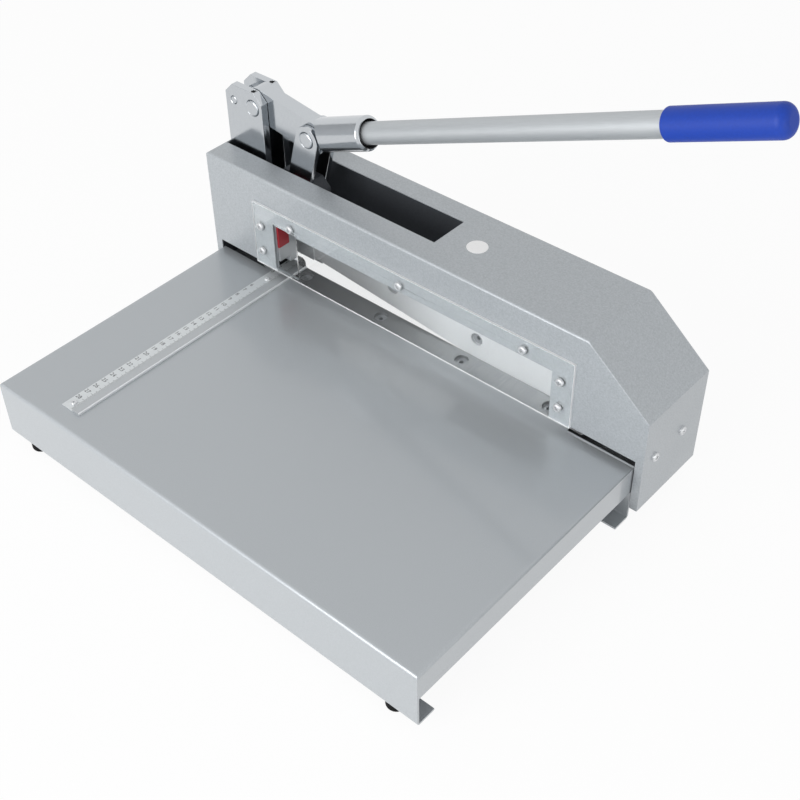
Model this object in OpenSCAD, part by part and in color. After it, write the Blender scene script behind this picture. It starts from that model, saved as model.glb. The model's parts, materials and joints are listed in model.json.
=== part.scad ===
// Manual sheet shear: a folded table, a swing blade under a cover, and a hand lever with a link.
// It is drawn with x along the blades from the middle of the table, y from the front of the table
// to the back and z up from the table top, then set with its origin on the ground under its middle.

/* [Table] */
// Width of the table, along the blades
table_w = 508; // [480:1:600]
// Depth of the table, from its front face to the back of its rear web
table_d = 286; // [220:1:360]
// Height of the front and rear webs
skirt_h = 61; // [54:1:80]
// Height of the side skirts
side_skirt_h = 28; // [15:1:40]
// Width of the turned-in bottom flanges
flange_w = 20; // [19:1:30]
// Thickness of the table sheet
table_t = 2; // [1.5:0.1:2.5]
// Outer radius of the table's folds
fold_r = 3.5; // [3:0.1:5]

/* [Feet] */
// Diameter of a foot
foot_d = 18; // [17:0.5:18.5]
// Height of a foot
foot_h = 9; // [6:0.5:14]
// Rounding of a foot's lower edge
foot_round = 3; // [1:0.25:3.5]
// Depth of the well for a foot's screw
foot_well = 5.4; // [4:0.1:7]
// Distance of a rear foot's middle from the back of the bed plate
rear_foot_inset = 12; // [10:0.5:20]
// Distance of a foot from the end of the table
foot_inset = 30; // [20:1:45]

/* [Frame] */
// Thickness of the bed plate that carries the frame
bed_plate_t = 8; // [6:0.5:12]
// Distance of the bed plate's ends from the ends of the table
bed_plate_inset = 9; // [5:1:30]
// Distance of the bed plate's rear edge from the back of the cover
bed_plate_setback = 14; // [8:1:25]
// Thickness of the tower plates and pivot plates
plate_t = 8; // [6:0.5:9]
// Width of a tower plate
tower_w = 50; // [48:1:60]
// Height of the tower plates above the table
tower_h = 176; // [172:1:200]
// Chamfer on the top corners of the tower plates
tower_chamfer = 10; // [4:0.5:14]
// Width of a pivot plate
pivot_plate_w = 46; // [40:1:48]
// Height of the blocks that hold each pair of plates apart
block_h = 32; // [22:1:36]
// Thickness of the right end plate
end_plate_t = 10; // [8:0.5:12]
// Height of the right end plate above the table
end_plate_h = 40; // [25:1:50]
// Height of the right end plate's lower edge above the cover's lower edge
end_plate_lift = 2; // [0.5:0.5:8]
// Distance of the right end plate's front edge behind the table's rear web
end_plate_front = 4; // [1:0.5:8]
// Distance of the right end plate's rear edge from the back of the cover
end_plate_rear = 8; // [3:0.5:15]
// Distance of the spacer rod's axis from the tower's left edge
spacer_inset = 11; // [8:0.5:12]
// Diameter of the spacer rod between the tower plates
spacer_d = 10; // [9:0.5:12]
// Diameter of the spacer rod's ends in the tower plates
spacer_end_d = 8; // [5:0.5:8]
// Gap between the tower and the cover round it
slot_clear = 0.5; // [0.3:0.1:1]

/* [Cover] */
// Distance by which the cover reaches past the table at each side
cover_over = 9; // [6:0.5:14]
// Distance of the cover's front face ahead of the table's rear web
cover_lap = 3; // [2:0.5:8]
// Depth of the cover, front to back
cover_d = 93; // [88:1:110]
// Height of the cover above the table
cover_h = 110.5; // [106:0.5:118]
// Distance by which the cover hangs below the table top
cover_drop = 46; // [30:1:50]
// Thickness of the cover's sheet
cover_t = 1.5; // [1:0.1:2]
// Outer radius of the bends round the cover's top
bend_r = 2.5; // [2.2:0.1:4]
// Length of the cover's slope along its top, at the right end
slope_w = 66.5; // [40:0.5:75]
// Height of the slope
slope_h = 54.5; // [30:0.5:58]
// Height of the feed gap between the table and the cover's front
feed_gap = 9.5; // [7:0.5:12]
// Gap between the cover's front strips and the table
strip_gap = 0.8; // [0.5:0.1:1.5]
// Width of the window in the front of the cover
window_w = 336; // [320:1:344]
// Place of the window's middle along the table
window_x = -3; // [-10:1:2]
// Height of the window's top above the table
window_h = 62; // [56:1:66]
// Width of the lever slot in the top of the cover
slot_w = 43; // [37:0.5:44]
// Length of the lever slot
slot_l = 271; // [255:0.5:290]
// Half the width of the opening in the back of the cover
outfeed_half = 200; // [150:1:215]
// Height of the opening in the back of the cover above the table
outfeed_h = 40; // [20:1:60]
// Height of the cover's end screws above the table
cover_screw_z = 9; // [0:1:20]
// Distances of the right end screws behind the cover's front face
cover_screw_y = [17, 60]; // [14:1:76]

/* [Guard] */
// Width of the clear guard
guard_w = 387; // [378:0.5:392]
// Height of the guard
guard_h = 72; // [68:1:80]
// Thickness of the guard
guard_t = 3; // [2:0.5:5]
// Place of the guard's middle along the table
guard_x = -5.5; // [-8:0.25:0]
// Width of the cut-out at the left of the guard
notch_w = 31; // [20:1:36]
// Height by which the cut-out reaches above the window
notch_rise = 4; // [0:0.5:5]
// Height of the strip left below the cut-out
notch_web = 4; // [3:0.5:6]
// Length by which a guard screw stands past its nut
guard_screw_tail = 2; // [0.5:0.5:4]
// Distance of the left screws from the guard's left end
guard_screw_left = 10.5; // [7:0.5:12]
// Distance of the right screws from the guard's right end
guard_screw_right = 13; // [8:0.5:16]
// Distance of the top screws from the guard's top edge
guard_screw_top = 11; // [6:0.5:13]
// Heights of the side screws above the guard's lower edge
guard_screw_z = [18, 47]; // [10:1:60]
// Places of the top screws along the table
guard_screw_x = [-147, -7, 134.5]; // [-170:0.5:170]

/* [Blade tip guide] */
// Distance by which the guide reaches past the guard's left end
guide_past = 8; // [6:0.5:14]
// Width of the guide at the left of the window
guide_w = 38; // [34:1:40]
// Depth of the blocks behind the cover's front
guide_block_d = 14; // [12:0.5:17]
// Thickness of the guide plate behind the blocks
guide_plate_t = 11.5; // [5:0.5:12.5]
// Height of the guide plate's lower edge above the table
guide_z = 13; // [4:0.5:16]
// Height of the grey block's lower edge above the table
guide_block_z = 20; // [11:0.5:22]
// Height of the seam between the grey block and the red block
guide_seam_z = 36; // [31:0.5:40]
// Height of the guide's top above the table
guide_top_z = 76; // [70:1:85]
// Distance of the guide's screws from its right end
guide_screw_inset = 11.5; // [8:0.5:14]

/* [Ruler] */
// Width of the ruler
ruler_w = 15; // [10:0.5:18]
// Thickness of the ruler
ruler_t = 1.2; // [0.8:0.1:2]
// Width of the fence strip beside the ruler
fence_w = 9; // [6:0.5:12]
// Thickness of the fence strip
fence_t = 3; // [2:0.1:3.5]
// Distance of the fence's working edge right of the window's left side
fence_x = 10; // [6:0.5:14]
// Bevel along the fence strip's working edge
fence_bevel = 0.8; // [0.3:0.1:1.5]
// Distance of the ruler's front end from the front of the table
ruler_front = 19; // [10:1:40]
// Distance of the ruler's back end from the shear line
ruler_setback = 1; // [0.5:0.5:4]
// Distance of the ruler's screws from its front end and from the guard
ruler_screw_inset = 8; // [5:0.5:15]
// Width of the black stop at the back of the fence
stop_w = 10; // [8:0.5:14]
// Height of the stop above the fence
stop_h = 8; // [5:0.5:10]
// Thickness of the stop
stop_t = 4; // [2:0.5:4]
// Rounding of the stop's corner
stop_round = 5.5; // [2:0.5:7]
// Distance of the stop from the fence's working edge
stop_setback = 1; // [0.5:0.5:2]

/* [Blades] */
// Distance of the shear line behind the cover's front face
shear_back = 32; // [31:0.5:36]
// Gap between the two blades at the shear line
shear_gap = 0.1; // [0.05:0.05:0.2]
// Length of the lower blade
lower_blade_l = 392; // [370:1:400]
// Gap between the table's rear web and the lower blade
lower_blade_gap = 0.5; // [0.3:0.1:1]
// Thickness of the lower blade
lower_blade_t = 10; // [8:0.5:12]
// Spacing of the lower blade's screws
lower_pitch = 101; // [80:1:105]
// Distance of the lower blade's screws from the shear line
lower_screw_back = 11.5; // [9:0.5:18]
// Depth of the lower blade's screws in the bed
lower_screw_bite = 12; // [8:0.5:16]
// Thickness of the upper blade
upper_blade_t = 8; // [7:0.5:8]
// Height of the upper blade
upper_blade_h = 45; // [40:1:50]
// Distance of the upper blade's tip from the window's left side
upper_tip = 20.5; // [16:0.5:30]
// Distance of the upper blade's heel from the beam's pivot
upper_heel = 36; // [34:1:50]
// Distance of the upper blade's end screws from its ends
upper_screw_inset = 30; // [12:1:36]
// Spacing of the upper blade's screws, counted from the heel
upper_pitch = 104; // [60:1:110]
// Depth of the upper blade's screws in the beam
upper_screw_bite = 10; // [6:0.5:12]
// Angle of the upper blade's edge to the table
rake = 5.3; // [3:0.1:7]
// Place along the table where the upper edge crosses the table top
cross_x = 41; // [20:1:80]

/* [Blade beam] */
// Thickness of the blade beam
beam_t = 16; // [14:0.5:18]
// Height of the beam's lower edge above the blade's edge
beam_low = 6; // [3:0.5:10]
// Height of the beam's upper edge above the blade's edge
beam_high = 64; // [54:0.5:72]
// Length of the beam's nose to the left of the blade
nose_l = 54.5; // [50:0.5:60]
// Gap between the beam's nose and the blade's tip
tip_gap = 9; // [0.5:0.5:12]
// Width of the beam's lug for the link
lug_w = 58; // [52:1:64]
// Height of the lug's top above the table
lug_z = 100; // [96:0.5:104]
// Chamfer on the lug's corners
lug_corner = 10; // [4:0.5:12]
// Height of the nose's lower edge above the table
nose_z = 5.8; // [2:0.2:8]
// Radius of the beam's eye round its pivot
eye_r = 24; // [20:0.5:28]
// Gap between the beam's eye and the right end plate
eye_gap = 1.5; // [0.5:0.1:4]
// Height of the pivot above the table
pivot_z = 22; // [16:1:26]
// Diameter of the pivot bolt
pivot_d = 20; // [16:1:24]
// Wall of the pivot's bush
bush_wall = 4; // [2:0.5:6]

/* [Lever] */
// Distance of the lever's pivot from the tower's left edge
lever_inset = 37; // [34:0.5:38]
// Height of the lever's pivot above the table
lever_z = 159.2; // [155:0.1:162]
// Diameter of the lever's pivot pin and of the link pins
pin_d = 16; // [12:0.5:17]
// Chamfer on the ends of the pins and the spacer rod
pin_chamfer = 0.8; // [0.3:0.1:1.5]
// Chamfer on the mouths of the holes for pins
hole_chamfer = 0.8; // [0.3:0.1:1.5]
// Length by which a pin stands past the plates
pin_stub = 1; // [0.5:0.1:2]
// Diameter of the set screws that lock the lever's pin
set_screw_d = 5; // [4:0.5:6]
// Depth of a set screw below the top of its tower plate
set_screw_sink = 0.6; // [0.2:0.1:2]
// Thickness of the lever arm
arm_t = 16; // [14:0.5:18]
// Height of the lever arm
arm_h = 34; // [28:1:35]
// Radius by which the arm's eyes stand past its edges
arm_swell = 0.5; // [0.2:0.1:1]
// Length of the lever arm between its pins
arm_l = 70; // [66:0.5:76]
// Angle of the lever arm below the level
arm_drop = 8.5; // [5:0.1:12]
// Angle of the handle above the level
handle_rise = 21.75; // [18:0.25:28]
// Outside diameter of the handle's socket
socket_d = 33; // [32.5:0.5:35]
// Distance of the socket's rim from the link pin
socket_end = 75; // [66:1:90]
// Chamfer on the socket's rim
socket_rim = 2.5; // [1:0.25:2.75]
// Widening of the socket's bore at its mouth
socket_mouth = 3; // [1:0.25:3.25]
// Depth of the socket's mouth
socket_mouth_l = 4; // [2:0.5:8]
// Height of the tongue that joins the arm to the socket
tongue_h = 24; // [18:0.5:26]
// Length of the tongue from the link pin
tongue_l = 36; // [30:0.5:40]
// Radius of the turned recess that clears the link in the socket
recess_r = 18.5; // [18.2:0.1:20]
// Gap between the tongue's end and the handle tube
tube_gap = 3; // [1:0.5:6]
// Diameter of the handle tube
tube_d = 21.3; // [18:0.1:21.9]
// Wall of the handle tube
tube_wall = 2; // [1:0.25:3]
// Diameter of the grip
grip_d = 26.6; // [25:0.1:32]
// Length of the grip
grip_l = 101.5; // [90:0.5:130]
// Distance of the grip's front end from the link pin
grip_start = 398; // [360:0.5:440]
// Rounding of the grip's far end
grip_round = 8; // [4:0.5:12]
// Rounding of the grip's front end
grip_lip = 2; // [0.5:0.25:2.5]
// Thickness of the grip's closed end
grip_cap = 6; // [4:0.5:10]

/* [Link] */
// Length of the link between its pins
link_l = 74; // [72:0.5:76]
// Angle of the link to the upright
link_lean = 15.5; // [13:0.5:18]
// Width of a link plate
link_w = 28; // [24:0.5:29]
// Thickness of a link plate
link_t = 6; // [4:0.5:7]
// Travel of the link's lower pin along its slot in the beam
pin_travel = 8; // [7.6:0.1:9]
// Travel of the lower pin past its place at rest, towards the blade
pin_overtravel = 0.1; // [0:0.05:0.5]
// Play of the lower pin in its slot, above and below
pin_slot_play = 0.9; // [0.8:0.05:1.2]
// Height of the slot's middle above the pin's place at rest
pin_slot_lift = 0.4; // [0.3:0.05:0.5]

/* [Fits] */
// Radial play of a pin that turns in its bore
run_play = 0.05; // [0.02:0.01:0.1]
// Radial play of a pin or screw that is held in its bore
seat_play = 0.02; // [0.01:0.01:0.05]
// Play between a moving bar and the plates beside it
side_play = 0.4; // [0.3:0.05:0.6]
// Radial play of a screw in a clearance hole
hole_play = 0.25; // [0.1:0.05:0.5]
// Radial play of a foot's screw head in its well
well_play = 0.6; // [0.3:0.1:1]
// Depth of a countersunk head below its face
head_sink = 0.3; // [0.1:0.05:0.5]

/* [Fasteners] */
// Diameter of the small panel screws
panel_screw_d = 4; // [3:0.5:5]
// Diameter of a panel screw's head
panel_head_d = 8.4; // [7:0.2:9]
// Height of a panel screw's head
panel_head_h = 2.8; // [2:0.2:3.4]
// Width across the flats of a panel screw's nut
panel_nut_af = 7; // [6:0.5:8]
// Height of a panel screw's nut
panel_nut_t = 3; // [2:0.2:4]
// Width across the flats of the socket in a guide screw
guide_socket_af = 2.5; // [1.5:0.5:2.5]
// Depth of a screw's hole past what it holds
screw_bite = 8; // [6:0.5:9]
// Diameter of the blade screws
blade_screw_d = 6; // [5:0.5:7]
// Diameter of a blade screw's countersunk head
blade_head_d = 13; // [12:0.5:14]
// Depth of a blade screw's head below its blade's face
blade_sink = 3; // [2:0.25:3.25]
// Width across the flats of a blade screw's socket
blade_socket_af = 4; // [3:0.5:4]
// Depth of the socket in a screw's head
socket_depth = 3; // [2:0.25:3.5]
// Spacing of the bed plate's screws
bed_screw_pitch = 134; // [110:1:140]
// Spacing of the right end plate's screws
end_screw_pitch = 20; // [16:0.5:22]
// Spacing of the bolts that hold the table
tray_bolt_pitch = 122; // [100:1:130]
// Diameter of the frame bolts
frame_bolt_d = 10; // [8:0.5:12]
// Width across the flats of a frame bolt's head
frame_bolt_af = 17; // [15:0.5:18]
// Height of a frame bolt's head
frame_bolt_head = 7; // [5:0.5:9]
// Depth of a frame bolt in the blade bed
frame_bolt_grip = 18; // [14:0.5:19]
// Distance of a frame bolt from the edge of its plates
bolt_margin = 12; // [10:0.5:14]
// Width across the flats of the pivot bolt's head and nut
pivot_af = 30; // [26:1:36]
// Height of the pivot bolt's head
pivot_head_h = 10; // [6:0.5:12]
// Diameter of the pivot's washers
washer_d = 37; // [32:1:44]
// Thickness of a washer
washer_t = 2.5; // [1.5:0.25:4]
// Height of the pivot's nut
nut_h = 12; // [8:0.5:14]
// Length by which the pivot bolt stands past its nut
pivot_tail = 3; // [1:0.5:6]
// Diameter of the ruler's screws
ruler_screw_d = 3; // [2:0.25:3.5]
// Diameter of a ruler screw's head
ruler_head_d = 5.7; // [5:0.1:7]
// Height of a ruler screw's head
ruler_head_h = 1.5; // [1:0.1:2]

/* [Hidden] */
$fn = 64;
COVER_GREY = "#a9adaf";
TABLE_GREY = "#a3a7a9";
STEEL = "#8d9196";
BRIGHT = "#d2d5d8";
ALLOY = "#b9bcc0";
DARK = "#3a3c40";
RUBBER = "#161618";
// Share of a pan head's height that is rounded, and share of a hexagon's flats in its flat end
PAN_ROUND = 0.7;
HEX_FLAT = 0.94;
// Reach of a cut past the face that it opens
overcut = 1;

// Depths, front to back
cover_y = table_d - cover_lap;
cover_back = cover_y + cover_d;
shear_y = cover_y + shear_back;
beam_y = shear_y + shear_gap + upper_blade_t;
middle_line = beam_y + beam_t / 2;
stack_half = max(arm_t, beam_t) / 2 + side_play;
front_plate_y = middle_line - stack_half - plate_t;
rear_plate_y = middle_line + stack_half;
front_link_y = middle_line - stack_half - link_t;
rear_link_y = middle_line + stack_half;
bed_plate_back = cover_back - bed_plate_setback;

// Heights
floor_z = -skirt_h - foot_h;
bed_top = -skirt_h + bed_plate_t;

// Places along the table
cover_half = table_w / 2 + cover_over;
cover_inner = cover_half - cover_t;
tower_x0 = -cover_inner + 2 * slot_clear;
tower_x1 = tower_x0 + tower_w;
slot_x0 = tower_x0 - slot_clear;
slot_x1 = slot_x0 + slot_l;
bed_plate_half = table_w / 2 - bed_plate_inset;
end_plate_x = cover_inner - end_plate_t;
window_x0 = window_x - window_w / 2;
window_x1 = window_x + window_w / 2;
fence_edge = window_x0 + fence_x;
ruler_x1 = fence_edge - fence_w;
guard_x0 = guard_x - guard_w / 2;
guard_x1 = guard_x + guard_w / 2;
guide_x0 = guard_x0 - guide_past;
guide_x1 = guide_x0 + guide_w;
foot_x = table_w / 2 - foot_inset;
upper_x0 = window_x0 + upper_tip;
pivot_x = end_plate_x - eye_gap - eye_r;
upper_x1 = pivot_x - upper_heel;
nose_x0 = upper_x0 - nose_l;
lug_x1 = nose_x0 + lug_w;

// Pivots, as x and z
lever_pivot = [tower_x0 + lever_inset, lever_z];
link_pivot = lever_pivot + arm_l * [cos(arm_drop), -sin(arm_drop)];
beam_pin = link_pivot - link_l * [sin(link_lean), cos(link_lean)];
beam_pivot = [pivot_x, pivot_z];
pin_r = pin_d / 2;
pivot_r = pivot_d / 2;
spacer_at = [tower_x0 + spacer_inset, lever_z];

// Handle, measured along its axis from the link pin
tube_start = tongue_l + tube_gap;
grip_end = grip_start + grip_l;
tube_end = grip_end - grip_cap;
socket_r = socket_d / 2;
grip_r = grip_d / 2;

// Middle of the outline, at rest
left_reach = -cover_half - panel_head_h;
right_reach = link_pivot[0] + (grip_end - grip_round) * cos(handle_rise)
    + (grip_r - grip_round) * sin(handle_rise) + grip_round;
middle_x = (left_reach + right_reach) / 2;
middle_y = cover_back / 2;

// Screws and bolts
FOUR = [-1.5, -0.5, 0.5, 1.5];
lower_screw_l = lower_blade_t + lower_screw_bite;
upper_screw_l = upper_blade_t + upper_screw_bite;
block_bolt_z = bed_top + block_h / 2;
tray_bolt_x = FOUR * tray_bolt_pitch;
tray_bolt_z = (bed_top - lower_blade_t) / 2;
bed_screw_x = FOUR * bed_screw_pitch;
bed_middle_y = (table_d + front_plate_y) / 2;
end_screw_z = [tray_bolt_z - end_screw_pitch / 2, tray_bolt_z + end_screw_pitch / 2];
lower_screw_y = shear_y - lower_screw_back;
pivot_grip = 2 * plate_t + 2 * stack_half;

// Blade tip guide, ruler and upper blade
guide_y0 = cover_y + cover_t;
guide_y1 = guide_y0 + guide_block_d;
ruler_back = shear_y - ruler_setback;
ruler_screw_x = ruler_x1 - ruler_w / 2;
ruler_screw_y = [ruler_front + ruler_screw_inset, cover_y - guard_t - ruler_screw_inset];
edge_u0 = (upper_x0 - cross_x) / cos(rake);
edge_u1 = (upper_x1 - cross_x) / cos(rake);
upper_screw_u = [
    edge_u0 + upper_screw_inset,
    for (i = [2, 1, 0]) edge_u1 - upper_screw_inset - i * upper_pitch
];

// Height of the upper blade's edge above the table, at a place along the table
function edge_z(x) = (cross_x - x) * tan(rake);

// Height of a line along the beam, at a distance square to the blade's edge
function beam_z(x, off) = edge_z(x) + off / cos(rake);

// Sets the drawn model on the ground under its middle
module placed() {
    translate([-middle_x, -middle_y, -floor_z]) children();
}

// Box between two corners
module block(low, high) {
    translate(low) cube(high - low);
}

// Upright outline drawn in x and z, as thick as t, from y towards the back
module upright(y, t) {
    translate([0, y + t, 0]) rotate([90, 0, 0]) linear_extrude(t) children();
}

// Outline drawn in y and z, swept along x
module swept(x, l) {
    translate([x, 0, 0]) rotate([90, 0, 90]) linear_extrude(l) children();
}

// Turns a piece's own axis to the back
module to_back() {
    rotate([-90, 0, 0]) children();
}

// Turns a piece's own axis to the front
module to_front() {
    rotate([90, 0, 0]) children();
}

// Turns a piece's own axis to the right
module to_right() {
    rotate([0, 90, 0]) children();
}

// Round hole from front to back at a place in x and z
module bore(at, r, y0, y1) {
    translate([at[0], y0, at[1]]) to_back() cylinder(r = r, h = y1 - y0);
}

// Hole with chamfered mouths at a place in x and z, through a plate from y0 to y1
module mouthed_bore(at, r, y0, y1) {
    l = y1 - y0;
    mouth = r + hole_chamfer;
    translate([at[0], y0, at[1]]) to_back() rotate_extrude() polygon([
        [0, -overcut], [mouth, -overcut], [mouth, 0], [r, hole_chamfer], [r, l - hole_chamfer],
        [mouth, l], [mouth, l + overcut], [0, l + overcut]
    ]);
}

// Rectangle with rounded corners
module soft_square(low, high, r) {
    size = high - low;
    translate(low + [r, 0]) square([size[0] - 2 * r, size[1]]);
    translate(low + [0, r]) square([size[0], size[1] - 2 * r]);
    for (x = [low[0] + r, high[0] - r], y = [low[1] + r, high[1] - r]) translate([x, y]) circle(r);
}

// Pan-head screw, head above its origin and shank below
module pan_screw(d, head_d, head_h, l) {
    rotate_extrude() {
        intersection() {
            soft_square([-head_d / 2, -head_h], [head_d / 2, head_h], PAN_ROUND * head_h);
            square([head_d / 2, head_h]);
        }
        translate([0, -l]) square([d / 2, l + head_h / 2]);
    }
}

// Countersunk socket screw with its flat at its origin and its shank below
module sunk_screw(d, head_d, l, socket_af) {
    cone = (head_d - d) / 2;
    difference() {
        rotate_extrude() polygon([[0, -l], [d / 2, -l], [d / 2, -cone], [head_d / 2, 0], [0, 0]]);
        translate([0, 0, -socket_depth])
            cylinder(d = socket_af / cos(30), h = socket_depth + overcut, $fn = 6);
    }
}

// Hole for a countersunk screw whose flat lies at the depth of sink, with its mouth at its origin
module sunk_hole(d, head_d, l, sink) {
    r = d / 2 + hole_play;
    mouth = head_d / 2 + seat_play;
    rotate_extrude() polygon([
        [0, -l], [r, -l], [r, r - mouth - sink], [mouth, -sink], [mouth, overcut], [0, overcut]
    ]);
}

// Hexagon with its upper corners turned off
module hexagon(af, h) {
    flat_r = HEX_FLAT * af / 2;
    wide = af / 2 / cos(30) + overcut;
    intersection() {
        cylinder(d = af / cos(30), h = h, $fn = 6);
        rotate_extrude() polygon([
            [0, 0], [wide, 0], [wide, h - (wide - flat_r) * tan(30)], [flat_r, h], [0, h]
        ]);
    }
}

// Hexagon-head bolt, head above its origin and shank below
module hex_bolt(d, af, head_h, l) {
    hexagon(af, head_h);
    translate([0, 0, -l]) cylinder(d = d, h = l + head_h / 2);
}

// Hexagon nut on a bolt of diameter d, standing on its origin
module hex_nut(d, af, h) {
    difference() {
        hexagon(af, h);
        translate([0, 0, -overcut]) cylinder(r = d / 2 + seat_play, h = h + 2 * overcut);
    }
}

// Table, folded from one sheet

// Box of the table inside a wall of t, with its folds rounded and its ends open below
module table_form(t) {
    r = fold_r - t;
    half = table_w / 2 - t;
    deep = 2 * skirt_h;
    intersection() {
        swept(-half, 2 * half) soft_square([t, t - skirt_h], [table_d - t, -t], r);
        upright(0, table_d) soft_square([-half, -deep], [half, -t], r);
    }
}

module table_tray() {
    skirt_cut = table_t + fold_r;
    color(TABLE_GREY) difference() {
        table_form(0);
        table_form(table_t);
        // Opening between the flanges, and the open ends below the side skirts
        block([-table_w, flange_w, -skirt_h - overcut], [table_w, table_d - flange_w, fold_r - skirt_h]);
        for (x = [-table_w / 2 - overcut, table_w / 2 - skirt_cut])
            block([x, table_t, table_t - skirt_h],
                [x + skirt_cut + overcut, table_d - table_t, -side_skirt_h]);
        for (x = tray_bolt_x)
            bore([x, tray_bolt_z], frame_bolt_d / 2 + hole_play, table_d - flange_w / 2, table_d + overcut);
        for (x = [-foot_x, foot_x])
            translate([x, flange_w / 2, -skirt_h - overcut])
                cylinder(r = panel_screw_d / 2 + seat_play, h = table_t + 2 * overcut);
        for (y = ruler_screw_y)
            translate([ruler_screw_x, y, -table_t - overcut])
                cylinder(r = ruler_screw_d / 2 + seat_play, h = table_t + 2 * overcut);
    }
}

// Places of the feet, with the thickness of what each stands under
function foot_places() = [
    for (x = [-foot_x, foot_x]) each [
        [x, flange_w / 2, table_t],
        [x, bed_plate_back - rear_foot_inset, bed_plate_t]
    ]
];

module feet() {
    well_r = panel_head_d / 2 + well_play;
    hole_r = panel_screw_d / 2 + seat_play;
    color(RUBBER) for (at = foot_places())
        translate([at[0], at[1], floor_z]) rotate_extrude() difference() {
            intersection() {
                soft_square([-foot_d / 2, 0], [foot_d / 2, 2 * foot_h], foot_round);
                square([foot_d / 2, foot_h]);
            }
            translate([-overcut, -overcut]) square([well_r + overcut, foot_well + overcut]);
            translate([-overcut, 0]) square([hole_r + overcut, foot_h + overcut]);
        }
}

module foot_screws() {
    color(STEEL) for (at = foot_places())
        translate([at[0], at[1], floor_z + foot_well]) mirror([0, 0, 1])
            pan_screw(panel_screw_d, panel_head_d, panel_head_h, foot_h - foot_well + at[2]);
}

// Frame under the cover

module bed_plate() {
    color(STEEL) difference() {
        block([-bed_plate_half, table_d, -skirt_h], [bed_plate_half, bed_plate_back, bed_top]);
        for (x = bed_screw_x)
            translate([x, bed_middle_y, -skirt_h]) mirror([0, 0, 1])
                sunk_hole(blade_screw_d, blade_head_d, bed_plate_t + overcut, head_sink);
        for (at = foot_places()) if (at[2] == bed_plate_t)
            translate([at[0], at[1], -skirt_h - overcut])
                cylinder(r = panel_screw_d / 2 + seat_play, h = bed_plate_t + 2 * overcut);
    }
}

module bed_screws() {
    color(DARK) for (x = bed_screw_x)
        translate([x, bed_middle_y, -skirt_h + head_sink]) mirror([0, 0, 1])
            sunk_screw(blade_screw_d, blade_head_d, bed_plate_t + screw_bite, blade_socket_af);
}

module blade_bed() {
    color(STEEL) difference() {
        block([-end_plate_x, table_d, bed_top], [end_plate_x, front_plate_y, -lower_blade_t]);
        for (i = FOUR)
            translate([i * lower_pitch, lower_screw_y, -lower_screw_l])
                cylinder(r = blade_screw_d / 2 + seat_play, h = lower_screw_l);
        for (x = bed_screw_x)
            translate([x, bed_middle_y, bed_top - overcut])
                cylinder(r = blade_screw_d / 2 + seat_play, h = screw_bite + overcut + head_sink);
        for (x = tray_bolt_x)
            bore([x, tray_bolt_z], frame_bolt_d / 2 + seat_play,
                table_d - overcut, table_d + screw_bite + overcut);
        for (at = frame_bolt_places())
            bore(at, frame_bolt_d / 2 + seat_play,
                front_plate_y - frame_bolt_grip, front_plate_y + overcut);
        for (z = end_screw_z)
            translate([end_plate_x - screw_bite - overcut, bed_middle_y, z]) to_right()
                cylinder(r = blade_screw_d / 2 + seat_play, h = screw_bite + 2 * overcut);
    }
}

module tray_bolts() {
    color(STEEL) for (x = tray_bolt_x)
        translate([x, table_d - table_t, tray_bolt_z]) to_front()
            hex_bolt(frame_bolt_d, frame_bolt_af, frame_bolt_head, table_t + screw_bite);
}

function frame_bolt_places() = [
    for (x = [tower_x0 + bolt_margin, tower_x1 - bolt_margin,
              pivot_x - pivot_plate_w / 2 + bolt_margin, pivot_x + pivot_plate_w / 2 - bolt_margin])
        [x, block_bolt_z]
];

module frame_bolts() {
    color(DARK) for (at = frame_bolt_places())
        translate([at[0], rear_plate_y + plate_t, at[1]]) to_back()
            hex_bolt(frame_bolt_d, frame_bolt_af, frame_bolt_head,
                2 * plate_t + 2 * stack_half + frame_bolt_grip - overcut);
}

module frame_bolt_holes() {
    for (at = frame_bolt_places())
        bore(at, frame_bolt_d / 2 + hole_play, front_plate_y - overcut, rear_plate_y + plate_t + overcut);
}

module right_end_plate() {
    color(STEEL) difference() {
        block([end_plate_x, table_d + end_plate_front, end_plate_lift - cover_drop],
            [cover_inner, cover_back - end_plate_rear, end_plate_h]);
        for (y = right_screw_y())
            translate([end_plate_x - overcut, y, cover_screw_z]) to_right()
                cylinder(r = panel_screw_d / 2 + seat_play, h = end_plate_t + 2 * overcut);
        for (z = end_screw_z)
            translate([cover_inner, bed_middle_y, z]) to_right()
                sunk_hole(blade_screw_d, blade_head_d, end_plate_t + overcut, head_sink);
    }
}

module end_plate_screws() {
    color(DARK) for (z = end_screw_z)
        translate([cover_inner - head_sink, bed_middle_y, z]) to_right()
            sunk_screw(blade_screw_d, blade_head_d, end_plate_t + screw_bite, blade_socket_af);
}

module tower_outline() {
    polygon([
        [tower_x0, bed_top], [tower_x1, bed_top], [tower_x1, tower_h - tower_chamfer],
        [tower_x1 - tower_chamfer, tower_h], [tower_x0 + tower_chamfer, tower_h],
        [tower_x0, tower_h - tower_chamfer]
    ]);
}

module tower_plate(y) {
    color(BRIGHT) difference() {
        upright(y, plate_t) tower_outline();
        mouthed_bore(lever_pivot, pin_r + seat_play, y, y + plate_t);
        mouthed_bore(spacer_at, spacer_end_d / 2 + seat_play, y, y + plate_t);
        translate([lever_pivot[0], y + plate_t / 2, lever_z])
            cylinder(r = set_screw_d / 2 + seat_play, h = tower_h - lever_z + overcut);
        frame_bolt_holes();
        translate([tower_x0 - overcut, y + plate_t / 2, cover_screw_z]) to_right()
            cylinder(r = panel_screw_d / 2 + seat_play, h = screw_bite + 2 * overcut);
    }
}

module tower_plate_front() {
    tower_plate(front_plate_y);
}

module tower_plate_rear() {
    tower_plate(rear_plate_y);
}

module tower_block() {
    color(STEEL) difference() {
        block([tower_x0, front_plate_y + plate_t, bed_top], [tower_x1, rear_plate_y, bed_top + block_h]);
        frame_bolt_holes();
    }
}

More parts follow.
